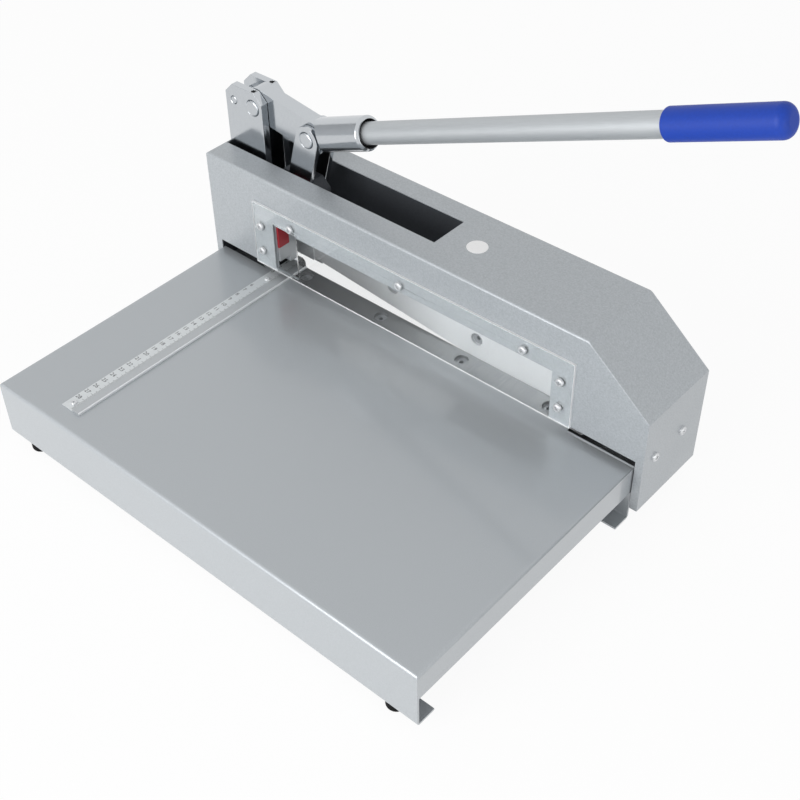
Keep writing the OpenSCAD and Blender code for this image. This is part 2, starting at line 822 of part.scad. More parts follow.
module tower_spacer_rod() {
    end_r = spacer_end_d / 2;
    l = 2 * plate_t + 2 * stack_half;
    color(BRIGHT) translate([spacer_at[0], front_plate_y, spacer_at[1]]) to_back() rotate_extrude() polygon([
        [0, 0], [end_r - pin_chamfer, 0], [end_r, pin_chamfer], [end_r, plate_t], [spacer_d / 2, plate_t],
        [spacer_d / 2, l - plate_t], [end_r, l - plate_t], [end_r, l - pin_chamfer],
        [end_r - pin_chamfer, l], [0, l]
    ]);
}

// Plain pin with chamfered ends, from front to back
module plain_pin(at, y0, y1) {
    l = y1 - y0;
    color(BRIGHT) translate([at[0], y0, at[1]]) to_back() rotate_extrude() polygon([
        [0, 0], [pin_r - pin_chamfer, 0], [pin_r, pin_chamfer], [pin_r, l - pin_chamfer],
        [pin_r - pin_chamfer, l], [0, l]
    ]);
}

module lever_pivot_pin() {
    plain_pin(lever_pivot, front_plate_y - pin_stub, rear_plate_y + plate_t + pin_stub);
}

// Set screws in the tops of the tower plates, down on the lever's pin
module pin_set_screws() {
    low = lever_z + pin_r + seat_play;
    l = tower_h - set_screw_sink - low;
    color(DARK) for (y = [front_plate_y, rear_plate_y])
        translate([lever_pivot[0], y + plate_t / 2, low]) difference() {
            cylinder(d = set_screw_d, h = l);
            translate([0, 0, l - socket_depth])
                cylinder(d = set_screw_d / 2 / cos(30), h = socket_depth + overcut, $fn = 6);
        }
}

module pivot_outline() {
    half = pivot_plate_w / 2;
    translate(beam_pivot) circle(half);
    translate([pivot_x - half, bed_top]) square([pivot_plate_w, pivot_z - bed_top]);
}

module pivot_plate(y) {
    color(STEEL) difference() {
        upright(y, plate_t) pivot_outline();
        bore(beam_pivot, pivot_r + seat_play, y - overcut, y + plate_t + overcut);
        frame_bolt_holes();
    }
}

module pivot_plate_front() {
    pivot_plate(front_plate_y);
}

module pivot_plate_rear() {
    pivot_plate(rear_plate_y);
}

module pivot_block() {
    half = pivot_plate_w / 2;
    color(STEEL) difference() {
        block([pivot_x - half, front_plate_y + plate_t, bed_top],
            [pivot_x + half, rear_plate_y, bed_top + block_h / 2 + frame_bolt_d]);
        frame_bolt_holes();
    }
}

module pivot_bolt() {
    color(DARK) translate([pivot_x, front_plate_y - washer_t, pivot_z]) to_front()
        hex_bolt(pivot_d, pivot_af, pivot_head_h, pivot_grip + 2 * washer_t + nut_h + pivot_tail);
}

module pivot_washers() {
    color(BRIGHT) for (y = [front_plate_y - washer_t, rear_plate_y + plate_t])
        translate([pivot_x, y, pivot_z]) to_back() difference() {
            cylinder(d = washer_d, h = washer_t);
            translate([0, 0, -overcut]) cylinder(r = pivot_r + hole_play, h = washer_t + 2 * overcut);
        }
}

module pivot_nut() {
    color(DARK) translate([pivot_x, rear_plate_y + plate_t + washer_t, pivot_z]) to_back()
        hex_nut(pivot_d, pivot_af, nut_h);
}

// Lower blade, let in behind the table

module lower_blade() {
    color(DARK) difference() {
        block([-lower_blade_l / 2, table_d + lower_blade_gap, -lower_blade_t],
            [lower_blade_l / 2, shear_y, 0]);
        for (i = FOUR)
            translate([i * lower_pitch, lower_screw_y, 0])
                sunk_hole(blade_screw_d, blade_head_d, lower_blade_t + overcut, blade_sink);
    }
}

module lower_blade_screws() {
    color(STEEL) for (i = FOUR)
        translate([i * lower_pitch, lower_screw_y, -blade_sink])
            sunk_screw(blade_screw_d, blade_head_d, lower_screw_l - blade_sink - head_sink, blade_socket_af);
}

// Cover, folded and welded from sheet, open below

// Form of the cover inside a wall of t, with the bends round its top rounded and its underside open
module cover_form(t) {
    r = bend_r - t;
    half = cover_half - t;
    low = [cover_y + t, -cover_drop - (t > 0 ? overcut : 0)];
    high = [cover_back - t, cover_h - t];
    deep = [0, cover_h + cover_drop];
    slope = atan2(slope_h, slope_w);
    intersection() {
        block([-half, low[0], low[1]], [half, high[0], high[1]]);
        upright(low[0], high[0] - low[0]) soft_square([-half, low[1] - deep[1]], [half, high[1]], r);
        swept(-half, 2 * half) soft_square(low - deep, high, r);
        translate([cover_half - slope_w, 0, cover_h]) rotate([0, slope, 0])
            block([-2 * cover_half, 0, -2 * cover_half], [cover_half, 2 * cover_back, -t]);
    }
}

function right_screw_y() = [for (y = cover_screw_y) cover_y + y];
function left_screw_y() = [front_plate_y + plate_t / 2, rear_plate_y + plate_t / 2];

module housing_cover() {
    table_half = table_w / 2 + strip_gap;
    color(COVER_GREY) difference() {
        cover_form(0);
        cover_form(cover_t);
        // Feed gap over the table, and the window above it
        block([-table_half, cover_y - overcut, -cover_drop - overcut],
            [table_half, cover_y + cover_t + overcut, feed_gap]);
        block([window_x0, cover_y - overcut, 0], [window_x1, cover_y + cover_t + overcut, window_h]);
        // Slot for the lever and the beam
        block([slot_x0, middle_line - slot_w / 2, cover_h - cover_t - overcut],
            [slot_x1, middle_line + slot_w / 2, cover_h + overcut]);
        // Opening where the cut pieces leave
        block([-outfeed_half, cover_back - cover_t - overcut, -cover_drop - overcut],
            [outfeed_half, cover_back + overcut, outfeed_h]);
        for (at = guard_screw_places())
            bore(at, panel_screw_d / 2 + hole_play, cover_y - overcut, cover_y + cover_t + overcut);
        for (y = right_screw_y())
            translate([cover_inner - overcut, y, cover_screw_z]) to_right()
                cylinder(r = panel_screw_d / 2 + hole_play, h = cover_t + 2 * overcut);
        for (y = left_screw_y())
            translate([-cover_half - overcut, y, cover_screw_z]) to_right()
                cylinder(r = panel_screw_d / 2 + hole_play, h = cover_t + 2 * overcut);
    }
}

module cover_screws() {
    color(BRIGHT) {
        for (y = right_screw_y())
            translate([cover_half, y, cover_screw_z]) to_right()
                pan_screw(panel_screw_d, panel_head_d, panel_head_h, cover_t + screw_bite);
        for (y = left_screw_y())
            translate([-cover_half, y, cover_screw_z]) rotate([0, -90, 0])
                pan_screw(panel_screw_d, panel_head_d, panel_head_h, cover_t + screw_bite);
    }
}

// Clear guard over the window

// Screws that go into the blade tip guide, and screws that have nuts behind the cover
function left_screws() = [for (z = guard_screw_z) [guard_x0 + guard_screw_left, feed_gap + z]];
function nut_screws() = [
    for (z = guard_screw_z) [guard_x1 - guard_screw_right, feed_gap + z],
    for (x = guard_screw_x) [x, feed_gap + guard_h - guard_screw_top]
];
function guard_screw_places() = concat(left_screws(), nut_screws());

module guard() {
    color("#dfe6e6", 0.35) difference() {
        block([guard_x0, cover_y - guard_t, feed_gap], [guard_x1, cover_y, feed_gap + guard_h]);
        block([window_x0, cover_y - guard_t - overcut, feed_gap + notch_web],
            [window_x0 + notch_w, cover_y + overcut, window_h + notch_rise]);
        for (at = guard_screw_places())
            bore(at, panel_screw_d / 2 + hole_play, cover_y - guard_t - overcut, cover_y + overcut);
    }
}

module guard_screws() {
    color(BRIGHT) for (at = guard_screw_places())
        translate([at[0], cover_y - guard_t, at[1]]) to_front()
            pan_screw(panel_screw_d, panel_head_d, panel_head_h,
                guard_t + cover_t + panel_nut_t + guard_screw_tail);
}

module guard_nuts() {
    color(STEEL) for (at = nut_screws())
        translate([at[0], cover_y + cover_t, at[1]]) to_back()
            hex_nut(panel_screw_d, panel_nut_af, panel_nut_t);
}

// Blade tip guide: two blocks on the cover's front wall, with a plate behind them

module guide_part(z0, z1) {
    difference() {
        block([guide_x0, guide_y0, z0], [guide_x1, guide_y1, z1]);
        for (at = left_screws())
            bore(at, panel_screw_d / 2 + seat_play, guide_y0 - overcut, guide_y0 + screw_bite);
        for (at = guide_screw_places())
            bore(at, panel_screw_d / 2 + seat_play, guide_y1 - screw_bite - overcut, guide_y1 + overcut);
    }
}

function guide_screw_places() = [
    for (z = [(guide_block_z + guide_seam_z) / 2, (guide_seam_z + guide_top_z) / 2])
        [guide_x1 - guide_screw_inset, z]
];

module guide_block() {
    color(BRIGHT) guide_part(guide_block_z, guide_seam_z);
}

module red_block() {
    color("#b3202c") guide_part(guide_seam_z, guide_top_z);
}

module guide_plate() {
    color(ALLOY) difference() {
        block([guide_x0, guide_y1, guide_z], [guide_x1, guide_y1 + guide_plate_t, guide_top_z]);
        for (at = guide_screw_places())
            translate([at[0], guide_y1 + guide_plate_t, at[1]]) to_back()
                sunk_hole(panel_screw_d, panel_head_d, guide_plate_t + overcut, head_sink);
    }
}

module guide_screws() {
    color(STEEL) for (at = guide_screw_places())
        translate([at[0], guide_y1 + guide_plate_t - head_sink, at[1]]) to_back()
            sunk_screw(panel_screw_d, panel_head_d,
                guide_plate_t + screw_bite - head_sink, guide_socket_af);
}

// Ruler and fence on the table

module ruler() {
    color("#d9dddc") difference() {
        block([ruler_x1 - ruler_w, ruler_front, 0], [ruler_x1, ruler_back, ruler_t]);
        for (y = ruler_screw_y)
            translate([ruler_screw_x, y, -overcut])
                cylinder(r = ruler_screw_d / 2 + hole_play, h = ruler_t + 2 * overcut);
    }
}

module fence_strip() {
    color(ALLOY) upright(ruler_front, ruler_back - ruler_front) polygon([
        [ruler_x1, 0], [fence_edge, 0], [fence_edge, fence_t - fence_bevel],
        [fence_edge - fence_bevel, fence_t], [ruler_x1, fence_t]
    ]);
}

module ruler_screws() {
    color(BRIGHT) for (y = ruler_screw_y)
        translate([ruler_screw_x, y, ruler_t])
            pan_screw(ruler_screw_d, ruler_head_d, ruler_head_h, ruler_t + table_t);
}

module fence_stop() {
    x1 = fence_edge - stop_setback;
    top = fence_t + stop_h;
    color(RUBBER) upright(ruler_back - stop_t, stop_t) intersection() {
        translate([x1 - stop_w, fence_t]) square([stop_w, stop_h]);
        soft_square([x1 - 2 * stop_w, top - 2 * stop_h], [x1, top], stop_round);
    }
}

// Swing beam with the upper blade

module beam_outline() {
    polygon([
        [nose_x0, nose_z], [upper_x0 - tip_gap, nose_z], [upper_x0 - tip_gap, beam_z(upper_x0, beam_low)],
        [upper_x1, beam_z(upper_x1, beam_low)], [pivot_x, pivot_z - eye_r], [pivot_x, pivot_z + eye_r],
        [upper_x1, beam_z(upper_x1, beam_high)], [lug_x1, beam_z(lug_x1, beam_high)],
        [lug_x1, lug_z - lug_corner], [lug_x1 - lug_corner, lug_z],
        [nose_x0 + lug_corner, lug_z], [nose_x0, lug_z - lug_corner]
    ]);
    translate(beam_pivot) circle(eye_r);
}

module blade_beam() {
    color(STEEL) difference() {
        upright(beam_y, beam_t) beam_outline();
        bore(beam_pivot, pivot_r + bush_wall + seat_play, beam_y - overcut, beam_y + beam_t + overcut);
        pin_slot(beam_y - overcut, beam_y + beam_t + overcut);
        for (u = upper_screw_u) on_edge() translate([u, 0, upper_blade_h / 2]) to_back()
            cylinder(r = blade_screw_d / 2 + seat_play, h = upper_screw_l + overcut);
    }
}

// Slot in which the link's lower pin pushes and lifts the beam
module pin_slot(y0, y1) {
    r = pin_r + pin_slot_play;
    left = beam_pin + [-pin_travel, pin_slot_lift];
    right = beam_pin + [pin_overtravel, pin_slot_lift];
    bore(left, r, y0, y1);
    bore(right, r, y0, y1);
    block([left[0], y0, left[1] - r], [right[0], y1, left[1] + r]);
}

module pivot_bush() {
    color("#b08d4a") translate([pivot_x, beam_y, pivot_z]) to_back() difference() {
        cylinder(r = pivot_r + bush_wall, h = beam_t);
        translate([0, 0, -overcut]) cylinder(r = pivot_r + run_play, h = beam_t + 2 * overcut);
    }
}

// Frame with its x along the upper blade's edge and its origin where that edge crosses the table
module on_edge() {
    translate([cross_x, shear_y + shear_gap, 0]) rotate([0, rake, 0]) children();
}

module upper_blade() {
    color(BRIGHT) on_edge() difference() {
        block([edge_u0, 0, 0], [edge_u1, upper_blade_t, upper_blade_h]);
        for (u = upper_screw_u) translate([u, 0, upper_blade_h / 2]) to_front()
            sunk_hole(blade_screw_d, blade_head_d, upper_blade_t + overcut, blade_sink);
    }
}

module upper_blade_screws() {
    color(STEEL) on_edge() for (u = upper_screw_u)
        translate([u, blade_sink, upper_blade_h / 2]) to_front()
            sunk_screw(blade_screw_d, blade_head_d, upper_screw_l - blade_sink, blade_socket_af);
}

// Lever with its handle

module lever_arm() {
    y0 = middle_line - arm_t / 2;
    y1 = y0 + arm_t;
    color(BRIGHT) difference() {
        upright(y0, arm_t) {
            translate(lever_pivot) circle(arm_h / 2 + arm_swell);
            translate(lever_pivot) rotate(-arm_drop) translate([0, -arm_h / 2]) square([arm_l, arm_h]);
            translate(link_pivot) circle(arm_h / 2 + arm_swell);
            translate(link_pivot) rotate(handle_rise) translate([0, -tongue_h / 2])
                square([tongue_l, tongue_h]);
        }
        bore(lever_pivot, pin_r + run_play, y0 - overcut, y1 + overcut);
        bore(link_pivot, pin_r + run_play, y0 - overcut, y1 + overcut);
    }
}

// Frame with its z along the handle's axis, from the link pin
module on_handle() {
    translate([link_pivot[0], middle_line, link_pivot[1]]) rotate([0, 90 - handle_rise, 0]) children();
}

module handle_socket() {
    bore_r = tube_d / 2 + seat_play;
    color(BRIGHT) on_handle() difference() {
        rotate_extrude() polygon([
            [0, 0], [socket_r, 0], [socket_r, socket_end - socket_rim], [socket_r - socket_rim, socket_end],
            [bore_r + socket_mouth, socket_end], [bore_r, socket_end - socket_mouth_l],
            [bore_r, tube_start], [0, tube_start]
        ]);
        rotate([90, 0, 0]) translate([0, 0, -socket_d]) cylinder(r = recess_r, h = 2 * socket_d);
        translate([-tongue_h / 2 - seat_play, -arm_t / 2 - seat_play, -overcut])
            cube([tongue_h + 2 * seat_play, arm_t + 2 * seat_play, tongue_l + overcut + seat_play]);
    }
}

module handle_tube() {
    l = tube_end - tube_start;
    color(ALLOY) on_handle() translate([0, 0, tube_start]) difference() {
        cylinder(d = tube_d, h = l);
        translate([0, 0, -overcut]) cylinder(d = tube_d - 2 * tube_wall, h = l + 2 * overcut);
    }
}

module grip() {
    color("#2f50b8") on_handle() translate([0, 0, grip_start]) rotate_extrude() difference() {
        intersection() {
            soft_square([-grip_r, -grip_l], [grip_r, grip_l], grip_round);
            soft_square([-grip_r, 0], [grip_r, 2 * grip_l], grip_lip);
            square([grip_r, grip_l]);
        }
        translate([-overcut, -overcut])
            square([tube_d / 2 + seat_play + overcut, grip_l - grip_cap + overcut]);
    }
}

// Link between the lever and the beam

module link_plate(y) {
    color(BRIGHT) difference() {
        upright(y, link_t) {
            translate(link_pivot) circle(link_w / 2);
            translate(beam_pin) circle(link_w / 2);
            translate(link_pivot) rotate(-link_lean) translate([-link_w / 2, -link_l])
                square([link_w, link_l]);
        }
        for (at = [link_pivot, beam_pin])
            mouthed_bore(at, pin_r + seat_play, y, y + link_t);
    }
}

module link_plate_front() {
    link_plate(front_link_y);
}

module link_plate_rear() {
    link_plate(rear_link_y);
}

module link_top_pin() {
    plain_pin(link_pivot, front_link_y - pin_stub, rear_link_y + link_t + pin_stub);
}

module link_bottom_pin() {
    plain_pin(beam_pin, front_link_y - pin_stub / 2, rear_link_y + link_t + pin_stub / 2);
}

placed() {
    table_tray();
    feet();
    foot_screws();
    bed_plate();
    bed_screws();
    blade_bed();
    tray_bolts();
    lower_blade();
    lower_blade_screws();
    right_end_plate();
    end_plate_screws();
    tower_plate_front();
    tower_plate_rear();
    tower_block();
    tower_spacer_rod();
    lever_pivot_pin();
    pin_set_screws();
    pivot_plate_front();
    pivot_plate_rear();
    pivot_block();
    frame_bolts();
    pivot_bolt();
    pivot_washers();
    pivot_nut();
    housing_cover();
    cover_screws();
    guard();
    guard_screws();
    guard_nuts();
    guide_block();
    red_block();
    guide_plate();
    guide_screws();
    ruler();
    fence_strip();
    ruler_screws();
    fence_stop();
    blade_beam();
    pivot_bush();
    upper_blade();
    upper_blade_screws();
    lever_arm();
    handle_socket();
    handle_tube();
    grip();
    link_plate_front();
    link_plate_rear();
    link_top_pin();
    link_bottom_pin();
}
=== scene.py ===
"""Looks for a bench shear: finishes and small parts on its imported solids, in a plain studio."""

import json
import math

import bmesh
import bpy
from bpy.props import FloatProperty, FloatVectorProperty, IntProperty, PointerProperty
from mathutils import Matrix, Vector

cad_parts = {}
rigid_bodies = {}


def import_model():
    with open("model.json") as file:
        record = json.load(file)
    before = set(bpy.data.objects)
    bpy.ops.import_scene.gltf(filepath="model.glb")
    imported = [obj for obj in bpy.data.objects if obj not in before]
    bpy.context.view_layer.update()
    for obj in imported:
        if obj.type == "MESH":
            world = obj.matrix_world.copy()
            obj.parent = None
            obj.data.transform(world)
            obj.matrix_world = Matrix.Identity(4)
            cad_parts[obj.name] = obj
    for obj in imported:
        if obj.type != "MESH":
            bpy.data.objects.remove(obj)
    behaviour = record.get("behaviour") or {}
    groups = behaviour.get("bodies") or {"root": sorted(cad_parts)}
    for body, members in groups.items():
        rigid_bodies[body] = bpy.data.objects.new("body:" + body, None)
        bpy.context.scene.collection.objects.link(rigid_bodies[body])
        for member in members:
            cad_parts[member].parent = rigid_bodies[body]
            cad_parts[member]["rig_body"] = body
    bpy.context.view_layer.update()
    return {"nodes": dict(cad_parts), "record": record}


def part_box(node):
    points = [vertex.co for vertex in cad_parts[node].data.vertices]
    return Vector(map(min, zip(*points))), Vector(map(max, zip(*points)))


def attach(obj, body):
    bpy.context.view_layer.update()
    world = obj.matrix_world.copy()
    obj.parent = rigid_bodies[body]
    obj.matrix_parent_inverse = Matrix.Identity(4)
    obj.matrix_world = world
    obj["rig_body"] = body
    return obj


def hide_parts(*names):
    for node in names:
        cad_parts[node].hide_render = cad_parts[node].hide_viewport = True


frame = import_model()

bl_info = {
    "name": "Bench Shear Looks",
    "version": (1, 0, 0),
    "blender": (4, 5, 0),
    "location": "View3D > Sidebar > Shear",
    "description": "Dresses the packed bench shear with finishes, small parts and a plain studio",
    "category": "Object",
}

MM = 0.001
UP = Vector((0, 0, 1))
FRONT = Vector((0, -1, 0))
RIGHT = Vector((1, 0, 0))
SLOTS = {s["node"]: s["material_slot"] for s in frame["record"]["subparts"]}
TABLE_LOW, TABLE_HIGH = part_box("table_tray")


# Places and colours


def at(x, y, z):
    """A point in mm from the middle of the table's front edge, at its top, in the part's frame."""
    middle = (TABLE_LOW.x + TABLE_HIGH.x) / 2
    return Vector((middle + x * MM, TABLE_LOW.y + y * MM, TABLE_HIGH.z + z * MM))


def linear(code):
    """An sRGB hex colour as linear red, green, blue and alpha."""
    channels = [int(code[i : i + 2], 16) / 255 for i in (1, 3, 5)]
    return [c / 12.92 if c <= 0.04045 else ((c + 0.055) / 1.055) ** 2.4 for c in channels] + [1.0]


def colour(name, description, code):
    """A colour that the user may change."""
    return FloatVectorProperty(
        name=name,
        description=description,
        subtype="COLOR",
        size=4,
        min=0,
        max=1,
        default=linear(code),
    )


def length(name, description, millimetres):
    """A length that the user may change."""
    return FloatProperty(
        name=name,
        description=description,
        unit="LENGTH",
        min=0,
        precision=5,
        default=millimetres * MM,
    )


WHITE = linear("#FFFFFF")
# Right end of the table's lip, middle of the sticker, and lower right corner of the beam's lug
LIP_END = at(182.5, 0, 0).x
STICKER_MIDDLE = at(44.3, 328.8, 0)
LUG_CORNER = at(-100, 0, 60)


class ShearSizes(bpy.types.PropertyGroup):
    """Sizes of the details that the solids leave plain."""

    plate_edge: length("Plate edge", "Edge break of the plated lever, link and tower", 0.6)
    steel_edge: length("Steel edge", "Edge break of blades and frame plates", 0.3)
    sheet_edge: length("Sheet edge", "Edge break of folded and moulded pieces", 0.25)
    small_edge: length("Small edge", "Edge break of screws, nuts and washers", 0.15)
    fold: length("Rear fold", "Radius of the table's rear fold, which is squared up", 3.5)
    lip: length("Lip", "How far the table's rear edge runs on along the lower blade", 4)
    lip_side: length("Lip side", "Width in which the lip ends at each side", 0.5)
    upturn: length("Upturn", "How far the table's rear edge turns up to the right of the lip", 0.9)
    slope_edge: length("Slope edge", "Edge break round the cover's slope", 0.8)
    skin: length("Skin", "Depth under which the cover's faces are inside", 1.2)
    sticker: length("Sticker", "Diameter of the blank sticker on the cover", 20)
    sticker_thick: length("Sticker thickness", "Thickness of the blank sticker", 0.15)
    sticker_edge: length("Sticker edge", "Edge break of the blank sticker", 0.06)
    guard_gap: length("Guard gap", "Gap between the guard and the cover", 0.12)
    # The socket's mouth of this depth is darkened as painted shade
    mouth: length("Mouth", "Depth of the dark mouth of the handle's socket", 4.5)
    head_height: length("Panel screw head", "Height of a panel screw's head", 2.8)
    ruler_head: length("Ruler screw head", "Height of a ruler screw's head", 1.5)
    marks: IntProperty(
        name="Marks", description="Millimetre marks on the ruler", default=294, min=10
    )
    mark_long: length("Centimetre mark", "Length of the ruler's mark at a centimetre", 5.4)
    mark_middle: length("Half mark", "Length of the ruler's mark at half a centimetre", 4.4)
    mark_short: length("Millimetre mark", "Length of the ruler's mark at a millimetre", 3.0)
    mark_width: length("Mark width", "Width of a ruler mark", 0.28)
    mark_inset: length("Mark inset", "Gap between the marks and the ruler's edge", 0.6)
    mark_end: length("Bare end", "Length at each end of the ruler without marks", 2)
    number_height: length("Number height", "Height of the ruler's numbers", 4.2)
    number_inset: length("Number inset", "Gap between the numbers and the ruler's edge", 0.9)
    number_end: length("Numberless end", "Length at each end of the ruler without numbers", 4)
    ink: length("Ink", "Thickness of the ruler's marks and numbers", 0.06)


class ShearColours(bpy.types.PropertyGroup):
    """Colours of the finishes."""

    cover: colour("Cover paint", "Silver hammer paint of the cover", "#B4B9BD")
    cover_low: colour("Cover hollows", "Hollows of the hammer paint", "#A2A7AB")
    table: colour("Table paint", "Smooth silver paint of the table", "#B1B6BA")
    table_low: colour("Table shade", "Darker flakes in the table's paint", "#A5AAAE")
    chrome: colour("Chrome", "Plated lever, link and tower", "#C4C8CC")
    # Inside the cover the primer is painted shade; on the beam's lug it is the lug's own colour
    primer: colour("Primer", "Dark primer inside the cover and on the beam's lug", "#4C5056")
    zinc: colour("Zinc", "Plated panel screws", "#DADCDE")
    steel: colour("Frame steel", "Milled steel inside", "#A2A5A8")
    # Black oxide is also painted shade in the socket's mouth and on the rear link's front face
    black: colour("Black oxide", "Blackened screws, bolts and hollows", "#2B2B2D")
    blade: colour("Blade", "Ground edge of the upper blade", "#E4E6E8")
    bed_blade: colour("Lower blade", "Worn face of the lower blade", "#A6A8A9")
    alloy: colour("Aluminium", "Satin handle tube and fence", "#BABEC1")
    ruler: colour("Ruler face", "Pale face of the ruler", "#D8DCDE")
    ink: colour("Ink", "Marks and numbers", "#3E4144")
    acrylic: colour("Acrylic", "Clear guard", "#F8F9F9")
    # The milled edge's brightness is a painted highlight
    milled: colour("Milled edge", "Bright cut edge of the fence", "#E4E7E9")
    acrylic_edge: colour("Acrylic edge", "Sawn edges of the guard", "#F2F4F5")
    # The cut-out's grey edges are painted shade
    acrylic_cut: colour("Acrylic cut", "Dusty edges of the guard's cut-out", "#80868A")
    red: colour("Red block", "Moulded guide block", "#A51E2C")
    grip: colour("Grip", "Blue grip", "#143EA6")
    rubber: colour("Rubber", "Feet and stop", "#0D0E0F")
    bronze: colour("Bronze", "Pivot bush", "#A98A52")
    sticker: colour("Sticker", "Blank sticker", "#FDFDFD")
    floor: colour("Floor", "Studio floor", "#F4F4F4")
    card: colour("Card", "Grey card beside the lever, which only metal shows", "#C2C4C6")


# Materials

# Noise values at which a grain shows the colour of its hollows and of its tops
TONE_STOPS = (0.3, 0.7)
# Share of the grain in the drift of the roughness, and the lowest and highest value of the two
GRAIN_SHARE = 0.5
DRIFT_LOW, DRIFT_HIGH = 0.45, 1.05
# Rounds in which the handle's angle settles
TURN_ROUNDS = 20


def add(tree, kind, inputs=None, **settings):
    """Adds a shader node with its settings, and its inputs as values or links."""
    made = tree.nodes.new("ShaderNode" + kind)
    for name, value in settings.items():
        setattr(made, name, value)
    for name, value in (inputs or {}).items():
        if isinstance(value, bpy.types.NodeSocket):
            tree.links.new(value, made.inputs[name])
        else:
            made.inputs[name].default_value = value
    return made


def finish(
    name,
    low,
    high,
    grain,
    rough,
    relief=0.0,
    drawn=(1, 1, 1),
    turn=0.0,
    patch=60.0,
    painted_shade=None,
    **shader,
):
    """A material whose grain sets its colour, roughness and relief.

    low and high are the colours in the grain's hollows and on its tops, grain the size of one cell
    in mm and relief its height in mm. drawn is how much longer a cell is on each axis, and turn the
    angle of that about Y. rough is the lowest and highest roughness, which also drifts over patches
    of that many mm. painted_shade is shade painted into the colour: a place along X in mm from the
    table's middle, a run from there in mm, and the share of the colour's light that is left before
    that run. The rest go to the shader's own sockets.
    """
    made = bpy.data.materials.new(name)
    made.use_nodes = True
    tree = made.node_tree
    tree.nodes.clear()
    where = add(tree, "TexCoord").outputs["Object"]
    turned = add(tree, "Mapping", {"Vector": where, "Rotation": (0, turn, 0)}).outputs["Vector"]
    stretch = {"Vector": turned, "Scale": [1 / d for d in drawn]}
    along = add(tree, "Mapping", stretch).outputs["Vector"]
    cell = {"Vector": along, "Scale": 1 / (grain * MM), "Detail": 3.0, "Roughness": 0.55}
    cells = add(tree, "TexNoise", cell).outputs["Fac"]
    broad = {"Vector": where, "Scale": 1 / (patch * MM), "Detail": 2.0}
    patches = add(tree, "TexNoise", broad).outputs["Fac"]
    tone = add(tree, "ValToRGB", {"Fac": cells})
    for element, place, value in zip(tone.color_ramp.elements, TONE_STOPS, (low, high)):
        element.position = place
        element.color = value
    base = tone.outputs["Color"]
    # Painted shade: the colour is darkened along X up to the run
    if painted_shade:
        place, run, left = painted_shade
        start = at(place, 0, 0).x
        x = add(tree, "SeparateXYZ", {"Vector": where}).outputs["X"]
        ramp = {"Value": x, "From Min": start, "From Max": start + run * MM, "To Min": left}
        share = add(tree, "MapRange", ramp, interpolation_type="SMOOTHSTEP").outputs["Result"]
        dimmed = add(tree, "VectorMath", {0: base, "Scale": share}, operation="SCALE")
        base = dimmed.outputs["Vector"]
    drift = add(tree, "Math", {0: cells, 1: GRAIN_SHARE, 2: patches}, operation="MULTIPLY_ADD")
    gloss = add(
        tree,
        "MapRange",
        {
            "Value": drift.outputs["Value"],
            "From Min": DRIFT_LOW,
            "From Max": DRIFT_HIGH,
            "To Min": rough[0],
            "To Max": rough[1],
        },
    )
    surface = {"Base Color": base, "Roughness": gloss.outputs["Result"], **shader}
    bsdf = add(tree, "BsdfPrincipled", surface)
    if relief:
        bump = add(tree, "Bump", {"Height": cells, "Distance": relief * MM, "Strength": 1.0})
        tree.links.new(bump.outputs["Normal"], bsdf.inputs["Normal"])
    add(tree, "OutputMaterial", {"Surface": bsdf.outputs["BSDF"]})
    return made


def mixed(material, share, other):
    """Mixes another shader into a material, by a share that a socket gives."""
    tree = material.node_tree
    bsdf = next(n for n in tree.nodes if n.type == "BSDF_PRINCIPLED")
    out = next(n for n in tree.nodes if n.type == "OUTPUT_MATERIAL")
    both = add(tree, "MixShader", {0: share, 1: bsdf.outputs["BSDF"], 2: other})
    tree.links.new(both.outputs["Shader"], out.inputs["Surface"])


def shaded(value, share):
    """A colour brought down to a share of its light."""
    return [c * share for c in value[:3]] + [1.0]


def clear_acrylic(name, tint, rough, clear):
    """Acrylic that lets lamps through, and as much of what lies behind it as it is clear."""
    made = finish(
        name,
        shaded(tint, 0.98),
        tint,
        grain=3.0,
        rough=(rough, rough + 0.02),
        IOR=1.49,
        **{"Transmission Weight": clear},
    )
    tree = made.node_tree
    shadow = add(tree, "LightPath").outputs["Is Shadow Ray"]
    through = add(tree, "BsdfTransparent", {"Color": tint})
    mixed(made, shadow, through.outputs["BSDF"])
    return made


def handle_turn():
    """Angle of the handle's axis above level, found from its tube's box in a few rounds."""
    low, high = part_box("handle_tube")
    wide, thick, tall = high - low
    angle = math.atan2(tall, wide)
    for _ in range(TURN_ROUNDS):
        angle = math.atan2(tall - thick * math.cos(angle), wide - thick * math.sin(angle))
    return angle


